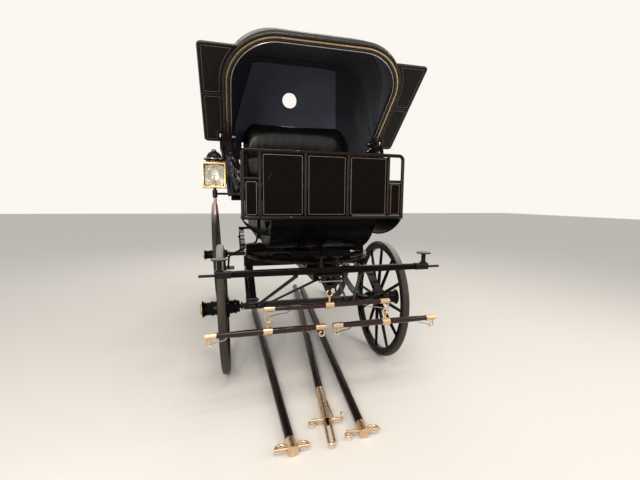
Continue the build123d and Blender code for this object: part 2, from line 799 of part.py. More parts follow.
def arch(outset):
    """The hood's front outline, grown by outset, in the plane of a bow."""
    with BuildSketch() as outline:
        with Locations((0, -20)):
            Rectangle(2 * (hood_half_width + outset), hood_reach + outset + 20,
                      align=(Align.CENTER, Align.MIN))
        fillet(outline.vertices().group_by(Axis.Y)[-1], radius=hood_corner_r + outset)
    return outline.sketch


window = Location((0, fy + 700, pivot_z + window_rise), (90, 0, 0))
with BuildPart() as hood_leather:
    add(hood_mass(0))
    add(hood_mass(leather_thick, past=40), mode=Mode.SUBTRACT)
    with Locations(window):
        Cylinder(window_r, 400, mode=Mode.SUBTRACT)
save(hood_leather, "hood_leather")

lining_outer = leather_thick + skin_gap
with BuildPart() as hood_lining:
    add(hood_mass(lining_outer))
    add(hood_mass(lining_outer + lining_thick, past=40), mode=Mode.SUBTRACT)
    with Locations(window):
        Cylinder(window_r, 400, mode=Mode.SUBTRACT)
save(hood_lining, "hood_lining")

with BuildPart() as front_bow:
    with BuildSketch(bow_plane.offset(0.3)):
        add(arch(bow_outside))
        add(arch(-bow_inside), mode=Mode.SUBTRACT)
    extrude(amount=bow_depth)
save(front_bow, "front_bow")

with BuildPart() as bow_bead:
    with BuildSketch(bow_plane.offset(0.3 + bow_depth)):
        add(arch(bead_outset))
        add(arch(bead_outset - bead_width), mode=Mode.SUBTRACT)
    extrude(amount=bead_depth)
save(bow_bead, "bow_bead")

bow_outset = lining_outer + lining_thick + 0.6
with BuildPart() as hood_bows:
    add(hood_mass(bow_outset))
    add(hood_mass(bow_outset + inner_bow_depth, past=40), mode=Mode.SUBTRACT)
    with BuildPart(mode=Mode.INTERSECT):
        for bow_lean in inner_bow_leans:
            turn = math.radians(bow_lean)
            aim = Plane(origin=pivot + Vector(0, -math.sin(turn), math.cos(turn)) * inner_bow_foot,
                        x_dir=(1, 0, 0), z_dir=(0, -math.sin(turn), math.cos(turn)))
            with Locations(aim.location):
                Box(2 * hood_half_width, inner_bow_width, 2 * hood_reach,
                    align=(Align.CENTER, Align.CENTER, Align.MIN))
save(hood_bows, "hood_bows")

with BuildPart() as wing_boards:
    for side in (-1, 1):
        with BuildSketch(bow_plane.offset(0.3 + (bow_depth - wing_thick) / 2)):
            with Locations((side * (wing_reach + wing_root) / 2, (wing_low + wing_high) / 2)):
                RectangleRounded(wing_reach - wing_root, wing_high - wing_low, 22)
            add(arch(bow_outside + 0.2), mode=Mode.SUBTRACT)
            Rectangle(2 * (hood_half_width + bow_outside) + 4 * stay_knuckle_r,
                      5 * stay_knuckle_r, mode=Mode.SUBTRACT)
        extrude(amount=wing_thick)
save(wing_boards, "wing_boards")

stay_x = hood_half_width + 16
stay_front = (fy - 172, pivot_z + 247)
stay_rear = (fy + 420, pivot_z + 85)
with BuildPart() as hood_irons:
    for side in (-1, 1):
        for foot_y, foot_z, head_z in ((fy + pivot_back, seat_floor + 150, pivot_z),
                                       (stay_rear[0], arm_top - 130, stay_rear[1])):
            add_rod((side * seat_half_width, foot_y, foot_z), (side * (stay_x + 6), foot_y, foot_z), 12)
            add_rod((side * stay_x, foot_y, foot_z), (side * stay_x, foot_y, head_z), 8)
        add_rod((side * (hood_half_width + bow_outside), fy + pivot_back - 4, pivot_z),
                (side * (stay_x + 16), fy + pivot_back - 4, pivot_z), stay_knuckle_r)
        add_rod((side * stay_x, *stay_front), (side * stay_x, *stay_rear), 7)
        for knuckle in (stay_front, stay_rear):
            add_rod((side * (hood_half_width + bow_outside), *knuckle),
                    (side * (stay_x + 12), *knuckle), stay_knuckle_r)
save(hood_irons, "hood_irons")

# Lamp on the right side: a square case with an open front, a domed chimney and a long stem
lamp_y = fy - lamp_lead
lamp_z = dash_bottom + lamp_rise
lamp_arm_z = dash_bottom + lamp_arm_rise
lamp_front = lamp_y - lamp_depth / 2
lamp_top = lamp_z + lamp_height / 2
lamp_foot = lamp_z - lamp_height / 2
with BuildPart() as lamp_case:
    with Locations((lamp_x, lamp_y, lamp_z)):
        Box(lamp_width, lamp_depth, lamp_height)
        Box(lamp_width - 2 * lamp_wall, lamp_depth - 2 * lamp_wall, lamp_height - 2 * lamp_wall,
            mode=Mode.SUBTRACT)
    with Locations((lamp_x, lamp_front, lamp_z)):
        Box(lamp_width - 2 * lamp_frame, 60, lamp_height - 2 * lamp_frame, mode=Mode.SUBTRACT)
    with BuildSketch(Plane(origin=(lamp_x, lamp_y, lamp_top), x_dir=(1, 0, 0), z_dir=(0, -1, 0))):
        with BuildLine():
            neck = lamp_width * 0.36
            brim = lamp_width * 0.45
            Polyline((0, -1), (neck, -1), (neck, lamp_dome * 0.2), (brim, lamp_dome * 0.24),
                     (brim, lamp_dome * 0.34), (neck * 0.94, lamp_dome * 0.42))
            ThreePointArc((neck * 0.94, lamp_dome * 0.42), (neck * 0.72, lamp_dome * 0.7),
                          (neck * 0.24, lamp_dome * 0.87))
            Polyline((neck * 0.24, lamp_dome * 0.87), (neck * 0.24, lamp_dome), (0, lamp_dome),
                     (0, -1))
        make_face()
    revolve(axis=Axis((lamp_x, lamp_y, 0), (0, 0, 1)))
    with Locations((lamp_x, lamp_y, lamp_foot - lamp_tail)):
        Cylinder(lamp_stem_r, lamp_tail + 1, align=(Align.CENTER, Align.CENTER, Align.MIN))
save(lamp_case, "lamp_case")

with BuildPart() as lamp_glass:
    with Locations((lamp_x, lamp_front + lamp_wall * 2 + 2, lamp_z)):
        Box(lamp_width - 2 * lamp_wall - 1, 3, lamp_height - 2 * lamp_wall - 1)
save(lamp_glass, "lamp_glass")

with BuildPart() as lamp_bracket:
    foot = (lamp_x, lamp_y, lamp_arm_z)
    arm_x = -(dash_half_width + dash_rod_r + lamp_arm_r - 3)
    with Locations(foot):
        Cylinder(lamp_stem_r + 6, 46)
    add_bent_rod((foot, (arm_x, lamp_y, lamp_arm_z), (arm_x, dash_y, lamp_arm_z)), 30, lamp_arm_r)
    with Locations(foot):
        Cylinder(lamp_stem_r + stem_clearance, 52, mode=Mode.SUBTRACT)
save(lamp_bracket, "lamp_bracket")

# Rear: cross bed on the springs, groom's seat above the boot, side steps
with BuildPart() as rear_bed:
    add_block((-spring_x - 34, spring_x + 34), (ry - rear_bed_width / 2, ry + rear_bed_width / 2),
              (rear_spring_top, body_bottom))
save(rear_bed, "rear_bed")

rumble_front = ry - rumble_lead
rumble_back = ry + rumble_overhang
rumble_z = boot_top + rumble_rise
rail_x = rumble_half - 2 * rumble_rod_r
rail_bend = rail_rise / 4
with BuildPart() as rumble_seat:
    add_block((-rumble_half, rumble_half), (rumble_front, rumble_back),
              (rumble_z, rumble_z + rumble_thick))
    for side in (-1, 1):
        for leg_y in (rumble_front + 50, rumble_back - 90):
            add_rod((side * (rumble_half - 60), leg_y, boot_top),
                    (side * (rumble_half - 60), leg_y, rumble_z + 4), rumble_rod_r + 2)
        add_bent_rod(((side * rail_x, rumble_front + 90, rumble_z + rumble_thick / 2),
                      (side * rail_x, rumble_front + 150, rumble_z + arm_rail_rise - 20),
                      (side * rail_x, rumble_back + 24, rumble_z + arm_rail_rise)),
                     rail_bend, rumble_rod_r - 2)
    add_bent_rod(((-rail_x, rumble_back - 2 * rumble_rod_r, rumble_z + rumble_thick / 4),
                  (-rail_x, rumble_back + 5 * rumble_rod_r, rumble_z + rail_rise),
                  (rail_x, rumble_back + 5 * rumble_rod_r, rumble_z + rail_rise),
                  (rail_x, rumble_back - 2 * rumble_rod_r, rumble_z + rumble_thick / 4)),
                 rail_bend, rumble_rod_r)
    add_rod((-rail_x, rumble_back + 20, rumble_z + arm_rail_rise - 4),
            (rail_x, rumble_back + 20, rumble_z + arm_rail_rise - 4), rumble_rod_r - 3)
save(rumble_seat, "rumble_seat")

with BuildPart() as rumble_cushion:
    pad_low = rumble_z + rumble_thick + 0.4
    add_block((-rumble_half + 26, rumble_half - 26), (rumble_front + 6, rumble_back - 30),
              (pad_low, pad_low + rumble_pad_height))
    fillet(rumble_cushion.edges().group_by(Axis.Z)[-1], radius=rumble_pad_height * 0.3)
save(rumble_cushion, "rumble_cushion")

step_y = ry - step_lead
step_z = body_bottom - step_drop
step_root_x = boot_half_width - 2 * panel_thick
with BuildPart() as side_steps:
    for side in (-1, 1):
        add_block((side * step_x - step_half, side * step_x + step_half),
                  (step_y - step_length / 2, step_y + step_length / 2),
                  (step_z - step_thick, step_z))
        add_bent_rod(((side * step_x, step_y, step_z - 2),
                      (side * (step_x - step_rod_r), step_y, step_z + step_drop / 3),
                      (side * step_root_x, step_y, body_bottom - step_drop * 0.27),
                      (side * step_root_x, step_y, body_bottom)), step_rod_r * 4, step_rod_r)
save(side_steps, "side_steps")


# Draught bars: round wooden bars with iron bands, eyes, ferrules and curled hooks
def bar_outline(half, mid_r, room=0):
    """Half the lengthwise section of a draught bar, thickest over its middle."""
    end_r = mid_r * bar_end_share + room
    with BuildSketch() as outline:
        with BuildLine():
            Polyline((-half, 0), (-half, end_r), (-half * 0.45, mid_r + room),
                     (half * 0.45, mid_r + room), (half, end_r), (half, 0), close=True)
        make_face()
    return outline.sketch


def wood_bar(centre, half, mid_r, name):
    """The turned wooden bar."""
    with BuildPart() as wood:
        with BuildSketch(Plane(origin=centre, x_dir=(1, 0, 0), z_dir=(0, -1, 0))):
            add(bar_outline(half - 4, mid_r))
        revolve(axis=Axis(centre, (1, 0, 0)))
    save(wood, name)


def cut_for_wood(centre, half, mid_r):
    """Room for the turned bar inside its bands and ferrules."""
    with BuildSketch(Plane(origin=centre, x_dir=(1, 0, 0), z_dir=(0, -1, 0))) as room:
        add(bar_outline(half - 4, mid_r, wood_clearance))
    revolve(room.sketch, axis=Axis(centre, (1, 0, 0)), mode=Mode.SUBTRACT)


def add_curl(end_x, y, bar_z_low, inward, depth):
    """A hook that drops from a ferrule and curls back towards the bar's middle."""
    curl_z = bar_z_low - depth
    add_rod((end_x, y, bar_z_low + 3), (end_x, y, curl_z), wire_r)
    add_ring((end_x + inward * curl_mid_r, y, curl_z), (0, inward, 0), curl_mid_r, wire_r,
             start=(-inward, 0, 0), turn=-265)


main_centre = (0, fy - main_bar_lead, main_bar_z)
wood_bar(main_centre, main_bar_half, main_bar_r, "main_bar_wood")
with BuildPart() as main_bar_irons:
    for side in (-1, 1):
        end = side * main_bar_half
        add_rod((end - side * ferrule_length, *main_centre[1:]), (end, *main_centre[1:]),
                main_bar_r * bar_end_share + 4)
        curl_top = main_bar_z - main_bar_r * bar_end_share - 4
        add_curl(side * (side_bar_x + curl_mid_r), main_centre[1], curl_top, -side,
                 curl_top - side_hinge_z - curl_mid_r)
    add_rod((-band_length / 2, *main_centre[1:]), (band_length / 2, *main_centre[1:]),
            main_bar_r + 3.5)
    add_rod((0, main_centre[1], main_bar_z + main_bar_r), (0, main_centre[1],
            main_hinge_z - 2 * ring_mid_r + 2), 6)
    add_ring((0, main_centre[1], main_hinge_z - ring_mid_r), (0, 1, 0), ring_mid_r, wire_r)
    cut_for_wood(main_centre, main_bar_half, main_bar_r)
save(main_bar_irons, "main_bar_irons")

for side_name, side in sides:
    bar_centre = (side * side_bar_x, fy - main_bar_lead, side_bar_z)
    wood_bar(bar_centre, side_bar_half, side_bar_r, f"side_bar_wood_{side_name}")
    with BuildPart() as side_bar_irons:
        for way in (-1, 1):
            end = bar_centre[0] + way * side_bar_half
            add_rod((end - way * ferrule_length, *bar_centre[1:]), (end, *bar_centre[1:]),
                    side_bar_r * bar_end_share + 4)
            add_curl(end - way * 8, bar_centre[1], side_bar_z - side_bar_r * bar_end_share - 4, -way, 26)
        add_rod((bar_centre[0] - band_length / 2, *bar_centre[1:]),
                (bar_centre[0] + band_length / 2, *bar_centre[1:]), side_bar_r + 3.5)
        add_rod((bar_centre[0], bar_centre[1], side_bar_z + side_bar_r),
                (bar_centre[0], bar_centre[1], side_hinge_z - eye_mid_r - 2), 5)
        add_ring((bar_centre[0], bar_centre[1], side_hinge_z), (1, 0, 0), eye_mid_r, 4)
        cut_for_wood(bar_centre, side_bar_half, side_bar_r)
    save(side_bar_irons, f"side_bar_irons_{side_name}")

# Poles on the ground: tapered wood with a steel head that carries loops or a two-pronged hook
for name, (tip_x, tip_lead, tail_x, tail_back, head) in pole_rows.items():
    tip = Vector(tip_x, fy - tip_lead, pole_tip_r + 4 + pole_floor_gap)
    tail = Vector(tail_x, fy + tail_back, pole_tail_r + pole_floor_gap)
    along = (tail - tip).normalized()
    across = along.cross(Vector(0, 0, 1)).normalized()

    def spot(sideways, back, lift=0):
        return tip + across * sideways + along * back + Vector(0, 0, lift)

    with BuildPart() as pole:
        with Locations(Plane(origin=tip, z_dir=along).location):
            Cone(pole_tip_r, pole_tail_r, (tail - tip).length,
                 align=(Align.CENTER, Align.CENTER, Align.MIN))
    save(pole, name)

    with BuildPart() as pole_head:
        if head == "hook":
            with Locations(Plane(origin=tip, z_dir=along).location):
                Cone(pole_tip_r + 3, pole_tip_r + 5, sheath_length,
                     align=(Align.CENTER, Align.CENTER, Align.MIN))
            add_rod(spot(-loop_reach, loop_bar_back), spot(loop_reach, loop_bar_back), loop_bar_r)
            add_ring(spot(loop_reach - 6, loop_bar_back, ring_mid_r), tuple(across), ring_mid_r, wire_r)
            add_bent_rod((spot(-16, 30, 10), spot(-16, -prong_reach + 6, -2),
                          spot(16, -prong_reach + 6, -2), spot(16, 30, 10)), 15, loop_wire_r + 1)
            add_rod(spot(pole_tip_r, sheath_length * 0.56, pole_tip_r * 0.7),
                    spot(loop_reach * 0.4, loop_bar_back, loop_wire_r * 1.5), wire_r)
        else:
            add_rod(tip, spot(0, pole_cap_length), pole_tip_r + 4)
            add_rod(spot(-loop_reach, loop_bar_back), spot(loop_reach, loop_bar_back), loop_bar_r)
            for side in ((-1, 1) if head == "loops" else (1,)):
                add_ring(spot(side * (loop_reach - 6 - loop_mid_r), loop_bar_back), (0, 0, side),
                         loop_mid_r, loop_wire_r, start=tuple(across * side), turn=180)
        if head != "loops":
            add_ring(spot(-loop_reach + 8, loop_bar_back - ring_mid_r, -4), (0, 0, 1),
                     ring_mid_r, wire_r, start=tuple(along))
        with Locations(Plane(origin=tip, z_dir=along).location):
            Cone(pole_tip_r + 0.2, pole_tail_r + 0.2, (tail - tip).length,
                 align=(Align.CENTER, Align.CENTER, Align.MIN), mode=Mode.SUBTRACT)
        if head != "hook":
            add_rod(spot(0, -8), spot(0, -0.2), pole_tip_r + 4)
    save(pole_head, f"{name}_head")
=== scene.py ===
import json
from math import atan2, cos, degrees, exp, hypot, pi, radians, sin, sqrt, tan

import bmesh
import bpy
from mathutils import Matrix, Vector, noise


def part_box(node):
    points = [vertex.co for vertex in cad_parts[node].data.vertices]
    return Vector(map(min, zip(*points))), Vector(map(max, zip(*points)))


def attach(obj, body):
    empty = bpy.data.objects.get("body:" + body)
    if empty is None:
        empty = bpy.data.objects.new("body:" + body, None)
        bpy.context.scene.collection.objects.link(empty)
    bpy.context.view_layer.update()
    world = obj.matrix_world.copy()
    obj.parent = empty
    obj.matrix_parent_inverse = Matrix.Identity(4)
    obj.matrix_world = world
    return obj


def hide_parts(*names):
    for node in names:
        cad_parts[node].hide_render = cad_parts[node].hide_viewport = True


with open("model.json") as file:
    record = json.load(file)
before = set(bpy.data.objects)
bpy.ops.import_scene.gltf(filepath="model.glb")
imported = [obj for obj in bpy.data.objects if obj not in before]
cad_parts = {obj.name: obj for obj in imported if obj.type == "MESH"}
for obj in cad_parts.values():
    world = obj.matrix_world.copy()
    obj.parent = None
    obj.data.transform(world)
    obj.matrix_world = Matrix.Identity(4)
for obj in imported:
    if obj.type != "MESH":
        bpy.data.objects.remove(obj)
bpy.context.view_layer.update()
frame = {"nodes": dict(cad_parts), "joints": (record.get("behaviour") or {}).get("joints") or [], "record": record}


# Places read from the frame, in metres
def box(node):
    """The low and the high corner of a CAD node."""
    return [Vector(corner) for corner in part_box(node)]


def middle(node):
    low, high = box(node)
    return (low + high) / 2


FRONT_AXLE = middle("front_axle")
REAR_AXLE = middle("rear_axle")
FY = FRONT_AXLE.y
BODY_LOW = box("body_tub")[0].z
SEAT_FLOOR = BODY_LOW + 0.345
UP = Vector((0, 0, 1))
SIDES = (("right", -1), ("left", 1))


def new_object(name, data):
    made = bpy.data.objects.new(name, data)
    bpy.context.scene.collection.objects.link(made)
    return made


# Camera: fitted to the photograph from the wheels, the dashboard and the splinter bar
IMAGE_WIDTH = 640
FOCAL_PX = 345.7
SENSOR_MM = 36
CAMERA_FROM_AXLE = Vector((-0.573, -2.629, 1.282))
YAW, PITCH, ROLL = 0.2552, 0.1144, 0.0079


def add_camera():
    ahead = Vector((sin(YAW) * cos(PITCH), cos(YAW) * cos(PITCH), -sin(PITCH)))
    flat_right = Vector((cos(YAW), -sin(YAW), 0))
    flat_up = flat_right.cross(ahead)
    right = flat_right * cos(ROLL) + flat_up * sin(ROLL)
    up = flat_up * cos(ROLL) - flat_right * sin(ROLL)
    data = bpy.data.cameras.new("camera")
    data.sensor_width = SENSOR_MM
    data.lens = FOCAL_PX / IMAGE_WIDTH * SENSOR_MM
    camera = new_object("camera", data)
    turn = Matrix((right, up, -ahead)).transposed()
    place = Vector((0, FY, 0)) + CAMERA_FROM_AXLE
    camera.matrix_world = Matrix.Translation(place) @ turn.to_4x4()
    bpy.context.scene.camera = camera


add_camera()


# Materials
class Look:
    """A Principled material under construction."""

    def __init__(self, name, color, rough, metal=0.0):
        self.material = bpy.data.materials.new(name)
        self.material.use_nodes = True
        self.nodes = self.material.node_tree.nodes
        self.links = self.material.node_tree.links
        self.shader = self.nodes["Principled BSDF"]
        self.set(Base_Color=(*color, 1), Roughness=rough, Metallic=metal)
        self.place = self.node("TexCoord").outputs["Object"]
        self.height = None

    def join(self, value, socket):
        """Sets a socket to a value, or links another socket to it."""
        if isinstance(value, bpy.types.NodeSocket):
            self.links.new(value, socket)
        else:
            socket.default_value = value

    def node(self, kind, **inputs):
        """A new node with its inputs set or linked."""
        made = self.nodes.new("ShaderNode" + kind)
        for name, value in inputs.items():
            self.join(value, made.inputs[name.replace("_", " ")])
        return made

    def set(self, **values):
        """Sets or links inputs of the shader."""
        for name, value in values.items():
            self.join(value, self.shader.inputs[name.replace("_", " ")])
        return self

    def noise(self, size, detail=4, rough=0.55):
        """Noise whose blotches are about size metres across."""
        return self.node("TexNoise", Scale=1 / size, Detail=detail, Roughness=rough,
                         Vector=self.place).outputs["Fac"]

    def cells(self, size):
        return self.node("TexVoronoi", Scale=1 / size, Vector=self.place).outputs["Distance"]

    def ramp(self, source, low, high, start=0.0, end=1.0):
        """source from low..high spread to start..end and held there."""
        return self.node("MapRange", From_Min=low, From_Max=high, To_Min=start, To_Max=end,
                         Value=source).outputs["Result"]

    def product(self, source, factor):
        """source times a number or another source."""
        made = self.node("Math")
        made.operation = "MULTIPLY"
        self.join(source, made.inputs[0])
        self.join(factor, made.inputs[1])
        return made.outputs["Value"]

    def tint(self, factor, color):
        """Mixes color over what the base colour is so far."""
        made = self.node("Mix")
        made.data_type = "RGBA"
        base = self.shader.inputs["Base Color"]
        self.join(base.links[0].from_socket if base.links else base.default_value, made.inputs["A"])
        self.join((*color, 1), made.inputs["B"])
        self.join(factor, made.inputs["Factor"])
        self.links.new(made.outputs["Result"], base)

    def bump(self, source, depth):
        """Raises the surface by up to depth metres."""
        made = self.node("Bump", Distance=depth, Height=source)
        if self.height:
            self.join(self.height, made.inputs["Normal"])
        self.height = made.outputs["Normal"]
        self.set(Normal=self.height)

    def edges(self, radius):
        """About 1 near convex or concave edges within radius, 0 on open faces."""
        bevel = self.node("Bevel", Radius=radius)
        bevel.samples = 4
        made = self.node("VectorMath")
        made.operation = "DOT_PRODUCT"
        for source, socket in zip((bevel, self.node("NewGeometry")), made.inputs):
            self.join(source.outputs["Normal"], socket)
        return self.ramp(made.outputs["Value"], 1.0, 0.65)


def coach_varnish(name, color, dust=0.10, shine=0.07, coat=0.12, rough=0.14):
    look = Look(name, color, rough)
    look.set(Specular_IOR_Level=shine, Coat_Weight=coat, Coat_Roughness=0.04)
    film = look.noise(0.09, detail=6)
    look.set(Roughness=look.ramp(film, 0.35, 0.75, rough * 0.7, rough * 2.4))
    look.tint(look.ramp(film, 0.5, 0.85, 0.0, dust), (0.024, 0.017, 0.012))
    look.bump(look.noise(0.004, detail=2), 0.00005)
    look.bump(look.noise(0.03, detail=2), 0.0002)
    return look.material


def black_iron(name, color):
    look = Look(name, color, 0.22)
    look.set(Specular_IOR_Level=0.12, Coat_Weight=0.20, Coat_Roughness=0.06)
    chips = look.noise(0.012, detail=8, rough=0.7)
    look.tint(look.product(look.edges(0.0025), look.ramp(chips, 0.45, 0.6)), (0.10, 0.066, 0.042))
    look.set(Roughness=look.ramp(look.noise(0.05), 0.3, 0.75, 0.16, 0.5))
    look.bump(chips, 0.0002)
    return look.material


def hide(name, color, rough, worn_color, grain=0.0016, depth=0.00016, wear=0.25, coat=0.0, shine=0.2):
    look = Look(name, color, rough)
    look.set(Coat_Weight=coat, Coat_Roughness=0.12, Specular_IOR_Level=shine)
    creases = look.noise(0.03, detail=7, rough=0.65)
    look.tint(look.product(look.ramp(creases, 0.5, 0.8), wear), worn_color)
    look.set(Roughness=look.ramp(creases, 0.3, 0.75, rough * 0.75, min(1, rough * 1.5)))
    look.bump(look.cells(grain), depth)
    look.bump(creases, 0.0006)
    return look.material


def broadcloth(name, color):
    look = Look(name, color, 0.92)
    look.set(Sheen_Weight=0.3, Sheen_Roughness=0.4, Specular_IOR_Level=0.2)
    wide = look.noise(0.16, detail=3)
    look.tint(look.ramp(wide, 0.35, 0.8, 0.0, 0.3), tuple(c * 1.6 for c in color))
    look.bump(look.noise(0.0012, detail=3), 0.0003)
    look.bump(look.noise(0.05, detail=3), 0.0015)
    return look.material


def metal(name, color, rough, dirt_color, dirt=0.5):
    look = Look(name, color, rough, metal=1.0)
    grime = look.noise(0.02, detail=8, rough=0.68)
    look.tint(look.ramp(grime, 0.45, 0.75, 0.0, dirt), dirt_color)
    look.set(Roughness=look.ramp(grime, 0.35, 0.75, rough * 0.8, min(0.9, rough * 1.9)))
    look.bump(look.noise(0.006, detail=5), 0.00025)
    return look.material


def painted_top_highlight(look, color, low, high, most):
    """Painted highlight: a pale colour on what faces upwards in the world, standing in for light from above."""
    split = look.node("SeparateXYZ", Vector=look.node("NewGeometry").outputs["Normal"])
    patches = look.ramp(look.noise(0.02, detail=6), 0.25, 0.6, 0.6, 1.0)
    look.tint(look.product(look.ramp(split.outputs["Z"], low, high, 0.0, most), patches), color)


def tyre_rubber(name, color):
    look = Look(name, color, 0.50).set(Specular_IOR_Level=0.25)
    scuff = look.noise(0.008, detail=9, rough=0.75)
    look.tint(look.ramp(scuff, 0.42, 0.7, 0.0, 0.6), (0.075, 0.056, 0.045))
    look.tint(look.ramp(look.noise(0.06), 0.55, 0.7, 0.0, 0.5), (0.022, 0.018, 0.015))
    # Painted highlight: the tyres' upward faces are paled as if lit from above.
    painted_top_highlight(look, (0.42, 0.40, 0.385), 0.62, 0.92, 0.85)
    look.bump(scuff, 0.0006)
    look.bump(look.cells(0.003), 0.0002)
    return look.material


def clear_glass(name, color):
    look = Look(name, color, 0.03).set(Transmission_Weight=1.0, IOR=1.48)
    look.bump(look.noise(0.03, detail=1), 0.0002)
    return look.material


# Each look's maker, its colour, a roughness and a second colour for metals and hides, and what differs
LOOKS = {
    "body_varnish": (coach_varnish, (0.0018, 0.0016, 0.0016), dict(shine=0.02, coat=0.03, rough=0.26)),
    "gear_varnish": (coach_varnish, (0.0020, 0.0016, 0.0016), dict(dust=0.16, shine=0.03)),
    "gear_iron": (black_iron, (0.0040, 0.0036, 0.0036)),
    "bar_varnish": (coach_varnish, (0.0110, 0.0028, 0.0026), dict(dust=0.06, shine=0.03)),
    "bar_gloss": (coach_varnish, (0.0130, 0.0034, 0.0030), dict(dust=0.06, shine=0.12, coat=0.5)),
    "bright_steel": (metal, (0.74, 0.52, 0.33), 0.25, (0.27, 0.16, 0.08)),
    "hub_brass": (metal, (0.50, 0.37, 0.20), 0.25, (0.14, 0.09, 0.04)),
    "tyre_rubber": (tyre_rubber, (0.026, 0.019, 0.015)),
    "hood_hide": (hide, (0.0045, 0.0038, 0.0035), 0.34, (0.034, 0.021, 0.012), dict(shine=0.16)),
    "dash_hide": (hide, (0.0030, 0.0021, 0.0017), 0.13, (0.016, 0.009, 0.005),
                  dict(grain=0.001, depth=0.00004, shine=0.05)),
    "lining_cloth": (broadcloth, (0.042, 0.044, 0.060)),
    "seat_hide": (hide, (0.0060, 0.0050, 0.0046), 0.30, (0.020, 0.014, 0.010),
                  dict(grain=0.0011, depth=0.00003, coat=0.12, shine=0.40)),
    "fall_hide": (hide, (0.0045, 0.0040, 0.0042), 0.16, (0.020, 0.014, 0.010),
                  dict(coat=0.22, shine=0.25)),
    "welt_hide": (hide, (0.0120, 0.0095, 0.0080), 0.18, (0.060, 0.044, 0.032),
                  dict(grain=0.0008, depth=0.00005, coat=0.3, shine=0.5)),
    # The lining cloth painted lighter: its brightness is painted light on the back panel inside the shaded hood.
    "back_cloth": (broadcloth, (0.130, 0.142, 0.196)),
    "pale_steel": (metal, (0.60, 0.58, 0.55), 0.25, (0.28, 0.24, 0.20)),
    # The warm brown in this colour is a painted reflection of a warm floor on the dash's rails.
    "dash_iron": (coach_varnish, (0.0065, 0.0046, 0.0036), dict(dust=0.3, shine=0.05, coat=0.22)),
    "tongue_steel": (metal, (0.40, 0.34, 0.29), 0.22, (0.10, 0.07, 0.05)),
    "lamp_black": (coach_varnish, (0.005, 0.005, 0.005)),
    "lamp_glass": (clear_glass, (0.95, 0.97, 0.95)),
    "thread": (broadcloth, (0.24, 0.22, 0.195)),
    "bead": (hide, (0.105, 0.074, 0.052), 0.28, (0.20, 0.15, 0.11), dict(wear=0.6, shine=0.4)),
    "lamp_brass": (metal, (0.86, 0.56, 0.24), 0.24, (0.45, 0.22, 0.07), dict(dirt=0.3)),
    "rose_brass": (metal, (0.60, 0.42, 0.34), 0.30, (0.25, 0.15, 0.10), dict(dirt=0.3)),
    "dark_nickel": (metal, (0.30, 0.27, 0.25), 0.14, (0.08, 0.04, 0.03), dict(dirt=0.4)),
    "silvered": (metal, (0.95, 0.93, 0.90), 0.38, (0.80, 0.70, 0.56), dict(dirt=0.3)),
    "wax": (broadcloth, (0.80, 0.72, 0.55)),
}


def make_looks():
    made = {}
    for name, (make, *values) in LOOKS.items():
        own = values.pop() if isinstance(values[-1], dict) else {}
        made[name] = make(name, *values, **own)
    return made


MATERIALS = make_looks()
OWN_LOOKS = {
    "dash_frame": "dash_iron",
    "main_bar_wood": "bar_gloss",
    "side_bar_wood_left": "bar_gloss",
    "side_bar_wood_right": "bar_gloss",
}


def dress_nodes():
    """Every CAD node gets the material of its slot, or its own look."""
    for row in frame["record"]["subparts"]:
        node = frame["nodes"][row["node"]]
        node.data.materials.clear()
        look = OWN_LOOKS.get(row["node"], row["material_slot"])
        node.data.materials.append(MATERIALS[look])


dress_nodes()


# Stage: floor, light and a pale background
LIGHT_TINT = (1, 0.93, 0.84)
LIGHTS = (  # name, place, size in metres, watts
    ("key", (-2.1, -4.5, 2.9), 1.4, 68),
    ("top", (-0.4, -2.6, 3.9), 1.1, 40),
    ("low", (-1.9, -4.9, 1.5), 1.0, 33),
    ("fill", (3.4, -3.0, 2.6), 2.4, 50),
    ("back", (0.5, 4.0, 4.0), 2.5, 60),
    ("spot_left", (-2.6, -3.4, 4.2), 0.14, 14),
    ("spot_middle", (0.4, -2.2, 4.6), 0.14, 12),
    ("spot_right", (3.0, -1.0, 4.0), 0.14, 12),
)


def studio_world():
    """Soft light from all sides, and a paler background for the camera, glass and reflections."""
    world = bpy.data.worlds.new("studio")
    bpy.context.scene.world = world
    world.use_nodes = True
    nodes, links = world.node_tree.nodes, world.node_tree.links
    soft, pale = nodes["Background"], nodes.new("ShaderNodeBackground")
    soft.inputs["Color"].default_value = (1, 0.98, 0.95, 1)
    soft.inputs["Strength"].default_value = 0.6
    pale.inputs["Color"].default_value = (0.97, 0.93, 0.88, 1)
    path = nodes.new("ShaderNodeLightPath")
    seen = path.outputs["Is Camera Ray"]
    for ray in ("Is Transmission Ray", "Is Glossy Ray"):
        either = nodes.new("ShaderNodeMath")
        either.operation = "MAXIMUM"
        links.new(seen, either.inputs[0])
        links.new(path.outputs[ray], either.inputs[1])
        seen = either.outputs["Value"]
    mix = nodes.new("ShaderNodeMixShader")
    links.new(seen, mix.inputs["Fac"])
    for number, light in enumerate((soft, pale), 1):
        links.new(light.outputs["Background"], mix.inputs[number])
    links.new(mix.outputs["Shader"], nodes["World Output"].inputs["Surface"])


def stage():
    bpy.ops.mesh.primitive_plane_add(size=60, location=(0, 0, 0))
    floor = bpy.context.object
    floor.name = "floor"
    floor.data.materials.append(Look("floor", (0.76, 0.74, 0.71), 0.9).material)
    studio_world()
    for name, place, size, power in LIGHTS:
        data = bpy.data.lights.new(name, "AREA")
        data.size = size
        data.energy = power
        data.color = LIGHT_TINT
        light = new_object(name, data)
        light.location = place
        aim = Vector((0, 0, 1.1)) - light.location
        light.rotation_euler = aim.to_track_quat("-Z", "Y").to_euler()
    bpy.context.scene.view_settings.view_transform = "Standard"


stage()


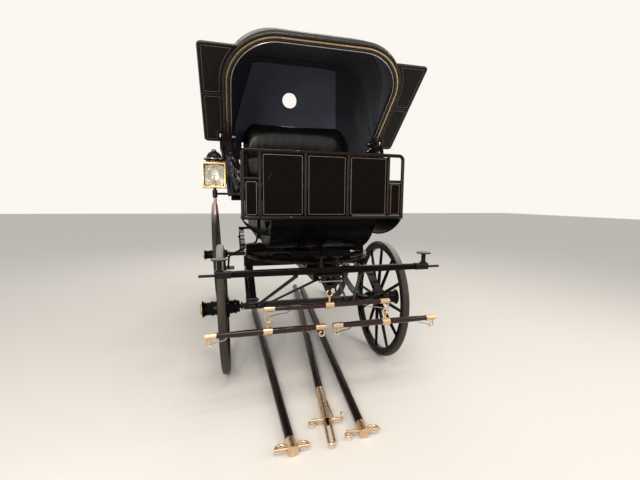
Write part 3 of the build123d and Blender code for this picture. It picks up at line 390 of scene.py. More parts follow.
# Mesh helpers
def mesh_piece(name, verts, faces, look, body="carriage", smooth=True, slot=None):
    """A mesh from plain lists that rides on a body."""
    data = bpy.data.meshes.new(name)
    data.from_pydata([tuple(v) for v in verts], [], faces)
    data.update()
    piece = new_object(name, data)
    data.materials.append(MATERIALS[look])
    if smooth:
        data.shade_smooth()
    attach(piece, body)
    return piece


def wave(x, y, z):
    """Smooth noise from -1 to 1 that changes over about 1 in each direction."""
    return noise.noise(Vector((x, y, z)))


def arc(x, y, radius, start, turn=90, steps=6):
    """Points (x, y) on an arc, from the angle start on, in degrees."""
    angles = [radians(start + turn * k / steps) for k in range(steps + 1)]
    return [(x + radius * cos(a), y + radius * sin(a)) for a in angles]


def circle(centre, first, second, radius, segments):
    """Points round a circle in the plane of two unit vectors."""
    angles = (2 * pi * k / segments for k in range(segments))
    return [centre + (first * cos(a) + second * sin(a)) * radius for a in angles]


STITCH_LENGTH = 0.0045
BRICK_FACES = [(0, 1, 3, 2), (4, 6, 7, 5), (0, 4, 5, 1), (2, 3, 7, 6), (0, 2, 6, 4), (1, 5, 7, 3)]


class Pile:
    """Collects small shapes into one mesh."""

    def __init__(self):
        self.verts = []
        self.faces = []

    def add(self, verts, faces):
        base = len(self.verts)
        self.verts += [tuple(v) for v in verts]
        self.faces += [tuple(base + i for i in face) for face in faces]

    def loft(self, rings, closed=False, capped=True):
        """A skin over rings that have the same number of points."""
        count, size = len(rings), len(rings[0])
        faces = []
        for i in range(count if closed else count - 1):
            j = (i + 1) % count
            for k in range(size):
                n = (k + 1) % size
                faces.append((i * size + k, i * size + n, j * size + n, j * size + k))
        if capped and not closed:
            faces.append(tuple(range(size))[::-1])
            faces.append(tuple((count - 1) * size + k for k in range(size)))
        self.add([point for ring in rings for point in ring], faces)

    def turned(self, profile, origin, axis, segments=16):
        """A turned shape: profile rows are (along the axis, radius)."""
        along = Vector(axis).normalized()
        side = along.orthogonal().normalized()
        other = along.cross(side)
        self.loft([circle(Vector(origin) + along * place, side, other, radius, segments)
                   for place, radius in profile])

    def dome(self, origin, axis, radius, height, segments=10):
        """A domed rivet or bolt head on a thin washer."""
        curve = [(height * (0.25 + 0.75 * up), radius * out) for out, up in arc(0, 0, 1, 0, steps=4)]
        self.turned([(0, radius * 1.35), (height * 0.22, radius * 1.3), *curve[:-1],
                     (height, radius * 0.02)], origin, axis, segments)

    def nut(self, origin, axis, radius, height):
        """A hexagonal nut with the end of its bolt."""
        self.turned([(0, radius), (height * 0.85, radius), (height, radius * 0.86)], origin, axis, 6)
        bolt = [(height, radius * 0.5), (height * 1.5, radius * 0.5), (height * 1.6, radius * 0.4)]
        self.turned(bolt, origin, axis, 10)

    def tube(self, points, radius, segments=8, closed=False):
        """A round wire through points."""
        points = [Vector(p) for p in points]
        normal = None
        rings = []
        for i, here in enumerate(points):
            ahead = points[(i + 1) % len(points)] if closed or i < len(points) - 1 else here
            behind = points[i - 1] if closed or i > 0 else here
            along = (ahead - behind).normalized()
            if normal is None:
                normal = along.orthogonal().normalized()
            normal = (normal - along * normal.dot(along)).normalized()
            rings.append(circle(here, normal, along.cross(normal), radius, segments))
        self.loft(rings, closed)

    def stitches(self, points, up, pitch=0.007, radius=0.0005):
        """Thread along points: short dashes that lie on a surface whose normal is up."""
        half, high = STITCH_LENGTH / 2, radius * 1.2
        up = Vector(up).normalized()
        walked = 0.0
        next_at = pitch / 2
        for start, end in zip(points, points[1:]):
            run = (end - start).length
            if run < 1e-6:
                continue
            along = (end - start) / run
            across = up.cross(along).normalized()
            while next_at <= walked + run:
                centre = start + along * (next_at - walked)
                self.add([centre + across * x + along * y + up * z for x in (-radius, radius)
                          for y in (-half, half) for z in (-radius, high)], BRICK_FACES)
                next_at += pitch
            walked += run

    def strip(self, points, across, width, thick):
        """A flat strip through points, width wide along across."""
        points = [Vector(p) for p in points]
        across = Vector(across).normalized()
        rings = []
        for i, here in enumerate(points):
            along = (points[min(i + 1, len(points) - 1)] - points[max(i - 1, 0)]).normalized()
            up = across.cross(along).normalized()
            rings.append([here + across * (side * width / 2) + up * (lift * thick / 2)
                          for side, lift in ((-1, 1), (1, 1), (1, -1), (-1, -1))])
        self.loft(rings)

    def piece(self, name, look, body="carriage", smooth=True, slot=None):
        made = mesh_piece(name, self.verts, self.faces, look, body, smooth, slot)
        if smooth:
            made.modifiers.new("edges", "EDGE_SPLIT").split_angle = radians(40)
        return made


def turned_piece(name, profile, origin, segments, look, slot):
    """A turned shape with an upright axis as a piece of its own."""
    pile = Pile()
    pile.turned(profile, origin, UP, segments)
    pile.piece(name, look, slot=slot)


def sheet_grid(points_at, rows, columns):
    """Vertices and faces of a grid; points_at gives a point from two shares between 0 and 1."""
    verts = [points_at(r / (rows - 1), c / (columns - 1)) for r in range(rows) for c in range(columns)]
    corners = [r * columns + c for r in range(rows - 1) for c in range(columns - 1)]
    return verts, [(a, a + 1, a + columns + 1, a + columns) for a in corners]


# Hood: one outline in polar form about the pivot line, shared by leather, lining and trim
HOOD_HALF = box("hood_leather")[1].x
PIVOT = Vector((0, FY + 0.080, SEAT_FLOOR + 0.445))
BOW_REACH = 0.778
FRONT_TURN = 139.5
CROWN = (0.270, 0.770)
BACK_R = 0.345
BACK_TURN = 86.0
BACK_SLOPE = 16.0
CORNER_R = 0.332
BOW_TURNS = (FRONT_TURN, 106.0, 60.0, 24.0, -13.7)
LINING_INSET = 0.0084
HOOD_SAG, LINING_SAG = 0.007, 0.009
ARCH_LOW = 0.02
WINDOW_Z, WINDOW_R = PIVOT.z + 0.475, 0.072
BEHIND_SEAT = PIVOT.y + 0.3


def direction(turn):
    return Vector((cos(radians(turn)), sin(radians(turn))))


def on_circle(centre, radius, aim):
    """How far along aim from the pivot line a circle is met."""
    along = centre.dot(aim)
    return along + sqrt(max(0.0, along**2 - centre.length_squared + radius**2))


def hood_circles():
    """The roof's and the back's circles, seen from the side, as (centre, radius)."""
    head = direction(FRONT_TURN) * BOW_REACH
    crown = Vector(CROWN)
    rise = crown - head
    roof_r = (rise.x**2 + rise.y**2) / (2 * rise.y)
    roof_centre = crown - Vector((0, roof_r))
    back_centre = roof_centre + direction(BACK_TURN) * (roof_r - BACK_R)
    return roof_centre, roof_r, back_centre


ROOF_CENTRE, ROOF_R, BACK_CENTRE = hood_circles()


def hood_reach(turn):
    """How far the hood's outline is from the pivot line at an angle, in metres."""
    aim = direction(turn)
    reach = on_circle(ROOF_CENTRE, ROOF_R, aim)
    out = aim * reach - ROOF_CENTRE
    if degrees(atan2(out.y, out.x)) >= BACK_TURN:
        return reach
    reach = on_circle(BACK_CENTRE, BACK_R, aim)
    out = aim * reach - BACK_CENTRE
    if degrees(atan2(out.y, out.x)) >= -BACK_SLOPE:
        return reach
    start = BACK_CENTRE + direction(-BACK_SLOPE) * BACK_R
    slope = tan(radians(BACK_SLOPE))
    return (start.x - start.y * slope) / (aim.x - slope * aim.y)


def arch_point(turn, share, inset, low=ARCH_LOW):
    """A point on the hood's arch at an angle, and the normal there.

    share runs from the right foot over to the left, and low is how far from the pivot line it starts.
    """
    reach = hood_reach(turn) - inset
    half = HOOD_HALF - inset
    corner = CORNER_R - inset
    legs = reach - corner - low
    bend = corner * pi / 2
    total = 2 * legs + 2 * bend + 2 * (half - corner)
    run = share * total
    mirrored = run > total / 2
    if mirrored:
        run = total - run
    if run <= legs:
        x, out = -half, low + run
        normal = (-1, 0)
    elif run <= legs + bend:
        a = (run - legs) / corner
        x = -half + corner - corner * cos(a)
        out = reach - corner + corner * sin(a)
        normal = (-cos(a), sin(a))
    else:
        x = -half + corner + (run - legs - bend)
        out = reach
        normal = (0, 1)
    if mirrored:
        x, normal = -x, (-normal[0], normal[1])
    aim = direction(turn)
    outward = Vector((0, aim.x, aim.y))
    point = PIVOT + outward * out + Vector((x, 0, 0))
    return point, Vector((normal[0], 0, 0)) + outward * normal[1]


def corner_share(turn):
    """The share along the arch at which its first corner has turned half way."""
    legs = hood_reach(turn) - CORNER_R - ARCH_LOW
    bend = CORNER_R * pi / 2
    return (legs + bend / 2) / (2 * legs + 2 * bend + 2 * (HOOD_HALF - CORNER_R))


def sag(turn, share, depth):
    """How far cloth or leather hangs in between the bows."""
    for front, rear in zip(BOW_TURNS, BOW_TURNS[1:]):
        if rear <= turn <= front:
            between = (front - turn) / (front - rear)
            break
    else:
        return 0.0
    swell = sin(pi * between) ** 2
    sides = min(1.0, 4 * min(share, 1 - share))
    return depth * swell * (0.35 + 0.65 * sides)


def hood_skin(name, inset, depth, look):
    """Leather or lining over the bows, hanging in by up to depth between them."""
    front, rear = BOW_TURNS[0] - 0.3, BOW_TURNS[-1]

    def at(down, across):
        turn = front + (rear - front) * down
        point, normal = arch_point(turn, across, inset)
        ripple = noise.noise(point * 7.0) * 0.0018 + noise.noise(point * 19.0) * 0.0006
        edge = min(1.0, 12 * min(down, 1 - down)) * min(1.0, 14 * min(across, 1 - across))
        return point - normal * max(0.0, sag(turn, across, depth) + ripple * edge)

    return mesh_piece(name, *sheet_grid(at, 73, 97), look)


def from_window(point):
    """How far a point is from the rear window's middle, seen from behind."""
    return hypot(point.x, point.z - WINDOW_Z)


def cut_window(piece):
    """Takes a round hole out of a skin where the rear window is, and smooths its rim."""
    bm = bmesh.new()
    bm.from_mesh(piece.data)
    middles = ((face, face.calc_center_median()) for face in bm.faces)
    doomed = [face for face, centre in middles
              if centre.y > PIVOT.y and from_window(centre) < WINDOW_R + 0.004]
    bmesh.ops.delete(bm, geom=doomed, context="FACES")
    for vert in {v for edge in bm.edges if edge.is_boundary for v in edge.verts}:
        away = Vector((vert.co.x, 0, vert.co.z - WINDOW_Z))
        if vert.co.y > BEHIND_SEAT and away.length < WINDOW_R * 2:
            fixed = away.normalized() * WINDOW_R
            vert.co.x, vert.co.z = fixed.x, WINDOW_Z + fixed.z
    bm.to_mesh(piece.data)
    bm.free()


def window_edge(piece):
    """The points round a skin's window, in order."""
    edge = [v.co.copy() for v in piece.data.vertices
            if v.co.y > BEHIND_SEAT and abs(from_window(v.co) - WINDOW_R) < 0.0005]
    return sorted(edge, key=lambda p: atan2(p.z - WINDOW_Z, p.x))


def thicken(piece, thick, offset=-1):
    solid = piece.modifiers.new("thickness", "SOLIDIFY")
    solid.thickness = thick
    solid.offset = offset
    solid.use_even_offset = True


def hood_skins():
    """The hood's leather and its lining, and the rolled rim of the window through both."""
    skins = (  # name, node, slot, inset, sag, thickness, flat size, radius of the window's rim
        ("hood_leather_skin", "hood_leather", "hood_hide",
         0.0, HOOD_SAG, 0.0045, (2.45, 2.30), 0.0034),
        ("hood_lining_cloth", "hood_lining", "lining_cloth",
         LINING_INSET, LINING_SAG, 0.002, (2.40, 2.25), 0.0030),
    )
    rim = Pile()
    for name, node, slot, inset, depth, thick, flat, radius in skins:
        skin = hood_skin(name, inset, depth, slot)
        cut_window(skin)
        thicken(skin, thick)
        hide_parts(node)
        rim.tube(window_edge(skin), radius, closed=True)
    rim.piece("window_rim", "welt_hide")


def hood_welts():
    """Welts along the hood's two corners and over its middle bows."""
    welts = Pile()
    first, last, steps = FRONT_TURN - 1, BOW_TURNS[-1], 59
    for mirrored in (False, True):
        path = []
        for step in range(steps + 1):
            turn = first - (first - last) * step / steps
            share = 1 - corner_share(turn) if mirrored else corner_share(turn)
            point, normal = arch_point(turn, share, 0.0)
            path.append(point - normal * (sag(turn, share, HOOD_SAG) - 0.0006))
        welts.tube(path, 0.0032)
    for turn in BOW_TURNS[1:4]:
        welts.tube([arch_point(turn, s / 96, -0.0004, low=0.20)[0] for s in range(97)], 0.0022, 6)
    welts.piece("hood_welts", "hood_hide", slot="hood_hide")


hood_skins()
hood_welts()


# Inside the hood: the panel of cloth across its back, with a welt round it
CURTAIN_INSET = 0.0230
# Rows of (turn, how far the panel reaches to the carriage's right, and to its left)
CURTAIN_EDGES = ((57, 0.358, 0.390), (50, 0.382, 0.416), (40, 0.424, 0.440), (30, 0.474, 0.447),
                 (20, 0.514, 0.438), (10, 0.526, 0.429), (-10, 0.528, 0.420))


def border(at, steps):
    """Points round the edge of a sheet that at describes, in order."""
    shares = [k / steps for k in range(steps)]
    return ([at(s, 0) for s in shares] + [at(1, s) for s in shares]
            + [at(1 - s, 1) for s in shares] + [at(0, 1 - s) for s in shares])


def back_curtain():
    corner = CORNER_R - CURTAIN_INSET

    def at(down, across):
        turn = CURTAIN_EDGES[0][0] + (CURTAIN_EDGES[-1][0] - CURTAIN_EDGES[0][0]) * down
        for above, below in zip(CURTAIN_EDGES, CURTAIN_EDGES[1:]):
            if turn >= below[0]:
                break
        part = (turn - above[0]) / (below[0] - above[0])
        right, left = (a + (b - a) * part for a, b in zip(above[1:], below[1:]))
        x = (right + left) * across - right
        bend = max(0.0, abs(x) - (HOOD_HALF - CORNER_R)) / corner
        out = hood_reach(turn) - CURTAIN_INSET - corner * (1 - sqrt(1 - bend * bend))
        out += wave(x * 6, turn * 0.05, 0) * 0.0015
        aim = direction(turn)
        return PIVOT + Vector((x, aim.x * out, aim.y * out))

    # The panel is the lining cloth painted lighter, as painted light inside the hood.
    curtain = mesh_piece("back_curtain", *sheet_grid(at, 61, 61), "back_cloth", slot="lining_cloth")
    cut_window(curtain)
    thicken(curtain, 0.002, offset=0)
    welt = Pile()
    for edge in (border(at, 30), window_edge(curtain)):
        welt.tube(edge, 0.0032, closed=True)
    bound = welt.piece("back_curtain_welt", "lining_cloth")


back_curtain()


# Side falls: leather gathered between the hood's lower edge and the seat's arm
# Rows of (across, behind the front axle, height) along the front part of the fall's top and foot
FALL_FRONT = 0.24
FALL_TOP = ((0.500, 0.030, 1.668), (0.560, 0.006, 1.712), (0.628, 0.014, 1.722),
            (0.640, 0.040, 1.724), (0.604, 0.058, 1.738), (0.5965, 0.080, 1.744))
FALL_FOOT = ((0.488, -0.150, 1.336), (0.530, -0.166, 1.320), (0.566, -0.170, 1.308),
             (0.580, -0.164, 1.304), (0.580, -0.148, 1.308), (0.577, -0.130, 1.312))
# Rows of (how far back along the seat, height of the fall's foot)
FALL_HEIGHTS = ((0.0, 1.312), (0.045, 1.372), (0.095, 1.425), (0.22, 1.470), (0.50, 1.515),
                (0.70, 1.550))
FALL_RUN, FALL_FOLDS = 0.68, 15
FALL_OUTSIDE, FALL_OUTSIDE_FROM = 0.6005, 0.062
SEAT_HALF, SEAT_CORNER, SEAT_STRAIGHT, SEAT_FRONT = 0.560, 0.230, 0.500, -0.130
FALL_OFF_SEAT = 0.017
FOLD_DEPTH, CREASE_DEPTH, FINE_DEPTH = 0.0075, 0.0045, 0.0020


def along_rows(rows, share):
    """A point a share of the way through rows of (across, back, height)."""
    place = share * (len(rows) - 1)
    first = min(int(place), len(rows) - 2)
    return Vector(rows[first]).lerp(Vector(rows[first + 1]), place - first)


def fall_foot(run):
    """Where the fall's foot lies on the outside of the seat, a run behind its front."""
    for (near, low), (far, high) in zip(FALL_HEIGHTS, FALL_HEIGHTS[1:]):
        if run <= far:
            break
    height = low + (high - low) * (run - near) / (far - near)
    if run <= SEAT_STRAIGHT:
        return Vector((SEAT_HALF + FALL_OFF_SEAT, run + SEAT_FRONT, height))
    a = (run - SEAT_STRAIGHT) / SEAT_CORNER
    reach = SEAT_CORNER + FALL_OFF_SEAT
    return Vector((SEAT_HALF - SEAT_CORNER + reach * cos(a),
                   SEAT_STRAIGHT + SEAT_FRONT + reach * sin(a), height))


def plain_fall(down, along):
    """A point of the left fall before its folds, from the front axle's place."""
    if along < FALL_FRONT:
        top = along_rows(FALL_TOP, along / FALL_FRONT)
        foot = along_rows(FALL_FOOT, along / FALL_FRONT)
    else:
        back = (along - FALL_FRONT) / (1 - FALL_FRONT)
        edge, _ = arch_point(BOW_TURNS[-1], 1 - back * corner_share(BOW_TURNS[-1]), -0.0035)
        top = Vector(FALL_TOP[-1]).lerp(edge - Vector((0, FY, 0)), min(1.0, back * 8))
        foot = fall_foot(back * FALL_RUN)
    point = top.lerp(foot, down)
    point.y -= 0.062 * sin(pi * down) * max(0.0, 1 - along / (FALL_FRONT * 1.2))
    return point


def side_falls():
    step = 0.01
    for name, side in SIDES:
        def at(down, along, side=side):
            here = plain_fall(down, along)
            across = plain_fall(down, min(1, along + step)) - plain_fall(down, max(0, along - step))
            drop = plain_fall(min(1, down + step), along) - plain_fall(max(0, down - step), along)
            normal = across.cross(drop).normalized()
            wander = wave(along * 7, down * 2.2, side * 5.0)
            fold = sin(2 * pi * FALL_FOLDS * along + 3.0 * wander)
            crease = 1 - 2 * abs(wave(along * 24, down * 7, 9.0 + side))
            fine = wave(along * 60, down * 26, side * 3.0)
            ends = 0.30 + 0.70 * min(1, 5 * down) * min(1, 5 * (1 - down))
            tail = min(1, 4 * (1 - along))
            loose = 1 + 0.5 * max(0.0, 1 - along / FALL_FRONT)
            depth = FOLD_DEPTH * fold + CREASE_DEPTH * crease + FINE_DEPTH * fine
            here += normal * depth * ends * tail * loose
            if here.y > FALL_OUTSIDE_FROM:
                here.x = min(here.x, FALL_OUTSIDE)
            return Vector((side * here.x, FY + here.y, here.z))

        verts, faces = sheet_grid(at, 61, 151)
        if side > 0:
            faces = [face[::-1] for face in faces]
        fall = mesh_piece(f"side_fall_{name}", verts, faces, "fall_hide", slot="hood_hide")
        thicken(fall, 0.0018, offset=0)
        hem = Pile()
        hem.tube([at(k / 40, 0) for k in range(41)], 0.0026)
        hem.tube([at(1, k / 80) for k in range(81)], 0.0022)
        bound = hem.piece(f"side_fall_hem_{name}", "welt_hide")


side_falls()


def pivot_bosses():
    """The turned heads of the pivot bolts, inside the hood's feet."""
    rows = [(0, 0.022), (0.004, 0.024), (0.012, 0.024), (0.015, 0.017), (0.026, 0.016),
            (0.030, 0.011), (0.031, 0.002)]
    half, off = 0.548, Vector((0, 0.006, 0.006))
    bosses = Pile()
    for side in (-1, 1):
        bosses.turned(rows, PIVOT - off + Vector((side * half, 0, 0)), (-side, 0, 0), 24)
    bosses.piece("pivot_bosses", "dark_nickel", slot="gear_iron")


pivot_bosses()


# Front bow, its trim and the wings, all in the plane of the front bow
BOW_OUTSIDE, BOW_INSIDE, BOW_DEPTH = 0.008, 0.046, 0.030
WING_REACH, WING_LOW, WING_HIGH, WING_THICK = 0.735, -0.030, 0.678, 0.012
WING_SEAM, WING_STITCH_INSET = 0.353, 0.018
RIM_R, RIM_INSET = 0.021, 0.001
NOTCH_TOP, NOTCH_WIDTH = 0.0375, 0.030
FRONT_UP = Vector((0, *direction(FRONT_TURN)))
FRONT_OUT = Vector((0, -FRONT_UP.z, FRONT_UP.y))


def on_bow(across, up, ahead=0.0):
    """A point in the front bow's plane: across in X, up the bow, and ahead of its rear face."""
    return PIVOT + Vector((across, 0, 0)) + FRONT_UP * up + FRONT_OUT * (ahead + 0.0003)


def bow_line(inset, ahead, steps=14):
    """Points round the front bow at an inset from the hood's outline."""
    half, corner = HOOD_HALF - inset, CORNER_R - inset
    top = BOW_REACH - inset
    span = half - corner
    side = [(-half, (top - corner) * k / steps) for k in range(steps)]
    side += arc(-span, top - corner, corner, 180, -90, steps)
    over = [(-span + 2 * span * k / steps, top) for k in range(1, steps)]
    return [on_bow(x, up, ahead) for x, up in (*side, *over, *((-x, up) for x, up in reversed(side)))]


def bow_trim():
    piping = Pile()
    piping.tube(bow_line(BOW_INSIDE - 0.001, BOW_DEPTH), 0.0028, 10)
    piping.piece("bow_inner_piping", "pale_steel")
    welt = Pile()
    edge = 0.003 - BOW_OUTSIDE
    for inset, ahead, radius, segments in ((edge, BOW_DEPTH, 0.0038, 10), (0.033, BOW_DEPTH, 0.0022, 8),
                                           (edge, 0.0, 0.003, 8)):
        welt.tube(bow_line(inset, ahead), radius, segments)
    welt.piece("bow_welts", "welt_hide")
    thread = Pile()
    for inset in (0.001, 0.026):
        thread.stitches(bow_line(inset, BOW_DEPTH + 0.0002), FRONT_OUT)
    thread.piece("bow_stitches", "thread", smooth=False)


def wing_inner(up, gap):
    """How far out the wing's inner edge is at a height up the bow."""
    corner = CORNER_R + BOW_OUTSIDE
    half = HOOD_HALF + BOW_OUTSIDE
    rise = up - (BOW_REACH + BOW_OUTSIDE - corner)
    if up <= NOTCH_TOP + gap:
        return half + NOTCH_WIDTH + gap
    if rise <= 0:
        return half + gap
    return half - corner + sqrt(max(0.0, (corner + gap) ** 2 - rise * rise))


def wings():
    thread, welts = Pile(), Pile()
    faces = ((FRONT_OUT, (BOW_DEPTH + WING_THICK) / 2), (-FRONT_OUT, (BOW_DEPTH - WING_THICK) / 2))
    outer = WING_REACH - WING_STITCH_INSET
    rim_x = WING_REACH - RIM_INSET - RIM_R
    for side in (-1, 1):
        seam = [on_bow(side * wing_inner(WING_SEAM, 0.002), WING_SEAM),
                on_bow(side * (WING_REACH - 0.003), WING_SEAM)]
        for _, ahead in faces:
            welts.tube([p + FRONT_OUT * ahead for p in seam], 0.0016, 6)
        for low, high in ((WING_LOW, WING_SEAM), (WING_SEAM, WING_HIGH)):
            bottom, top = low + WING_STITCH_INSET, high - WING_STITCH_INSET
            heights = [bottom + (top - bottom) * k / 16 for k in range(17)]
            loop = [on_bow(side * outer, top), on_bow(side * outer, bottom),
                    *(on_bow(side * wing_inner(up, WING_STITCH_INSET), up) for up in heights),
                    on_bow(side * outer, top)]
            for up, ahead in faces:
                thread.stitches([p + FRONT_OUT * ahead for p in loop], up, 0.0062, 0.0006)
        rim = [(wing_inner(WING_LOW, 0.003), WING_LOW + RIM_INSET)]
        rim += arc(rim_x, WING_LOW + RIM_INSET + RIM_R, RIM_R, -90)
        rim += arc(rim_x, WING_HIGH - RIM_INSET - RIM_R, RIM_R, 0)
        rim.append((wing_inner(WING_HIGH - RIM_INSET, 0.003), WING_HIGH - RIM_INSET))
        welts.tube([on_bow(side * x, up, BOW_DEPTH / 2) for x, up in rim], 0.0068, 10)
    thread.piece("wing_stitches", "thread", smooth=False)
    welts.piece("wing_welts", "welt_hide")


bow_trim()
wings()


# Dashboard: crowned leather panels with a bead round each
DASH_Y = middle("dash_frame").y
DASH_LOW = BODY_LOW + 0.221
DASH_TOP = DASH_LOW + 0.387
DASH_RIBS = (-0.500, -0.402, -0.133, 0.133, 0.402, 0.500)
HANDLE_Z = DASH_LOW + 0.226
UNDER_HANDLE, UNDER_TOP = 0.010, 0.014
RIB_R, RIB_GAP = 0.011, 0.0006
PANEL_ROWS, PANEL_COLUMNS = 31, 25
BEAD_INSET, BEAD_OUT, BEAD_CORNER = 0.0085, 0.0037, 0.006


def panel_face(left, right, low, high, way):
    """One face of a dash panel, crowned and slightly rippled."""
    def at(up, across):
        x, z = left + (right - left) * across, low + (high - low) * up
        crown = min(1, 8 * min(up, 1 - up)) * min(1, 8 * min(across, 1 - across))
        ripple = wave(x * 9, way * 3.0, z * 9) * 0.0009
        return Vector((x, DASH_Y + way * (0.0012 + 0.0022 * sqrt(crown) + ripple * crown), z))
    return sheet_grid(at, PANEL_ROWS, PANEL_COLUMNS)


def rounded_loop(left, right, low, high, corner, y):
    """A closed rounded rectangle in an XZ plane."""
    low, high, left, right = low + corner, high - corner, left + corner, right - corner
    places = ((right, high), (left, high), (left, low), (right, low))
    return [(x, y, z) for k, place in enumerate(places)
            for x, z in arc(*place, corner, 90 * k, steps=5)]


def dash_panels():
    beads = Pile()
    columns, count = PANEL_COLUMNS, PANEL_ROWS * PANEL_COLUMNS
    rim = [*range(columns), *range(2 * columns - 1, count, columns),
           *range(count - 2, count - columns - 1, -1), *range(count - 2 * columns, 0, -columns)]
    low = DASH_LOW + RIB_R + RIB_GAP
    for number, (left, right) in enumerate(zip(DASH_RIBS, DASH_RIBS[1:])):
        high = HANDLE_Z - UNDER_HANDLE if number in (0, 4) else DASH_TOP - UNDER_TOP
        left, right = left + RIB_R + RIB_GAP, right - RIB_R - RIB_GAP
        (near, faces), (far, back) = (panel_face(left, right, low, high, way) for way in (-1, 1))
        faces += [tuple(count + i for i in reversed(face)) for face in back]
        faces += [(b, a, count + a, count + b) for a, b in zip(rim, rim[1:] + rim[:1])]
        panel = mesh_piece(f"dash_panel_{number}", near + far, faces, "dash_hide", slot="dash_hide")
        if number == 0:
            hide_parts("dash_leather")
        for way in (-1, 1):
            beads.tube(rounded_loop(left + BEAD_INSET, right - BEAD_INSET, low + BEAD_INSET,
                                    high - BEAD_INSET, BEAD_CORNER, DASH_Y + way * BEAD_OUT),
                       0.0019, closed=True)
    beads.piece("dash_beads", "bead")


def dash_knob():
    """The steel knob on the corner of the dash's rail."""
    turned_piece("dash_knob", [(-0.004, 0.0062), (0.004, 0.0062), (0.006, 0.0040), (0.012, 0.0046),
                               (0.020, 0.0050), (0.026, 0.0036), (0.028, 0.0008)],
                 (DASH_RIBS[0] + 0.004, DASH_Y, DASH_TOP + RIB_R), 14, "pale_steel", "bright_steel")


def dash_scratch():
    """A pale scratch on the first of the wide panels."""
    scratch = Pile()
    face = DASH_Y - 0.0052
    scratch.strip([(-0.353, face, 1.400), (-0.344, face - 0.0003, 1.419), (-0.337, face, 1.437)],
                  (1, 0, 0.4), 0.0016, 0.0004)
    scratch.piece("dash_scratch", "bead", slot="dash_hide")


dash_panels()
dash_knob()
dash_scratch()


# Soft goods: each pad is swelled by a short cloth simulation from a slightly smaller block
SIM_FRAMES = 16
HELD_BAND = 0.012
CLOTH = dict(quality=4, use_pressure=True, uniform_pressure_force=3.0, tension_stiffness=12,
             compression_stiffness=12, bending_stiffness=0.6)
BUTTONS = [(x, y) for y in (-0.14, 0.0, 0.14) for x in (-0.36, -0.12, 0.12, 0.36)]
ROLL_LEAN, ROLL_MIDDLE, ROLL_HALF, ROLL_SLIMMEST = 0.030, 0.70, 0.36, 0.50
ROLL_END, ROLL_DROP = 0.66, 0.120


def rounded_block(name, low, high, corner, shape):
    """A block with rounded edges on a fine voxel mesh, bent by shape where it is given."""
    bm = bmesh.new()
    bmesh.ops.create_cube(bm, size=1)
    for vert in bm.verts:
        vert.co = [low[i] if vert.co[i] < 0 else high[i] for i in range(3)]
    data = bpy.data.meshes.new(name)
    bm.to_mesh(data)
    bm.free()
    piece = new_object(name, data)
    data.materials.append(MATERIALS["seat_hide"])
    round_off = piece.modifiers.new("round", "BEVEL")
    round_off.width = corner
    round_off.segments = 5
    remesh = piece.modifiers.new("remesh", "REMESH")
    remesh.mode = "VOXEL"
    remesh.voxel_size = 0.006
    settle(piece)
    if shape:
        for vert in piece.data.vertices:
            vert.co = shape(vert.co.copy())
    return piece


def settle(piece):
    """Applies a piece's modifiers to its mesh."""
    graph = bpy.context.evaluated_depsgraph_get()
    done = bpy.data.meshes.new_from_object(piece.evaluated_get(graph))
    piece.modifiers.clear()
    piece.data = done


def swell(piece, limit, held):
    """Blows the piece up as stuffed cloth. No point moves further than limit; held points stay."""
    start = [v.co.copy() for v in piece.data.vertices]
    cloth = piece.modifiers.new("cloth", "CLOTH")
    for name, value in CLOTH.items():
        setattr(cloth.settings, name, value)
    cloth.settings.effector_weights.gravity = 0
    group = piece.vertex_groups.new(name="held")
    group.add([v.index for v in piece.data.vertices if held(v.co)], 1.0, "REPLACE")
    cloth.settings.vertex_group_mass = "held"
    scene = bpy.context.scene
    for step in range(1, SIM_FRAMES + 1):
        scene.frame_set(step)
    settle(piece)
    scene.frame_set(1)
    for vert, home in zip(piece.data.vertices, start):
        move = vert.co - home
        if move.length > limit:
            vert.co = home + move * (limit / move.length)
        if held(home):
            vert.co = home


def pad(node, room_low, room_high, corner, limit, held=None, shape=None, work=None):
    """A stuffed pad in place of a CAD node, starting smaller than its box by the two rooms."""
    low, high = box(node)
    low_start, high_start = low + Vector(room_low), high - Vector(room_high)
    piece = rounded_block(f"{node}_pad", low_start, high_start, corner, shape)
    swell(piece, limit, held or (lambda p: p.z < low.z + HELD_BAND))
    if work:
        work(piece)
    piece.data.shade_smooth()
    smooth = piece.modifiers.new("smooth", "SMOOTH")
    smooth.factor = 0.5
    smooth.iterations = 4
    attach(piece, "carriage")
    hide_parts(node)


def button_down(piece):
    """Pulls the cushion's cover down round each button."""
    depth, reach = 0.008, 0.06
    low, high = box("seat_cushion")
    buttons = Pile()
    for x, y in BUTTONS:
        place = Vector((x, (low.y + high.y) / 2 + y, high.z))
        for vert in piece.data.vertices:
            away = (vert.co.xy - place.xy).length
            if away < reach * 2.5 and abs(vert.co.z - place.z) < 0.05:
                vert.co.z -= depth * exp(-((away / reach) ** 2) * 3)
        buttons.dome(place - UP * (depth + 0.012), UP, 0.009, 0.007, 12)
    buttons.piece(piece.name + "_buttons", "seat_hide")


def wrinkle(piece):
    """Soft creases across the stuffed roll."""
    depth = 0.0035
    for vert in piece.data.vertices:
        crease = wave(vert.co.x * 11, vert.co.y * 2, vert.co.z * 5)
        fine = wave(vert.co.x * 31, vert.co.y * 6, vert.co.z * 12)
        vert.co.y += depth * (crease + 0.3 * fine)
        vert.co.z -= abs(depth * crease) * 0.5


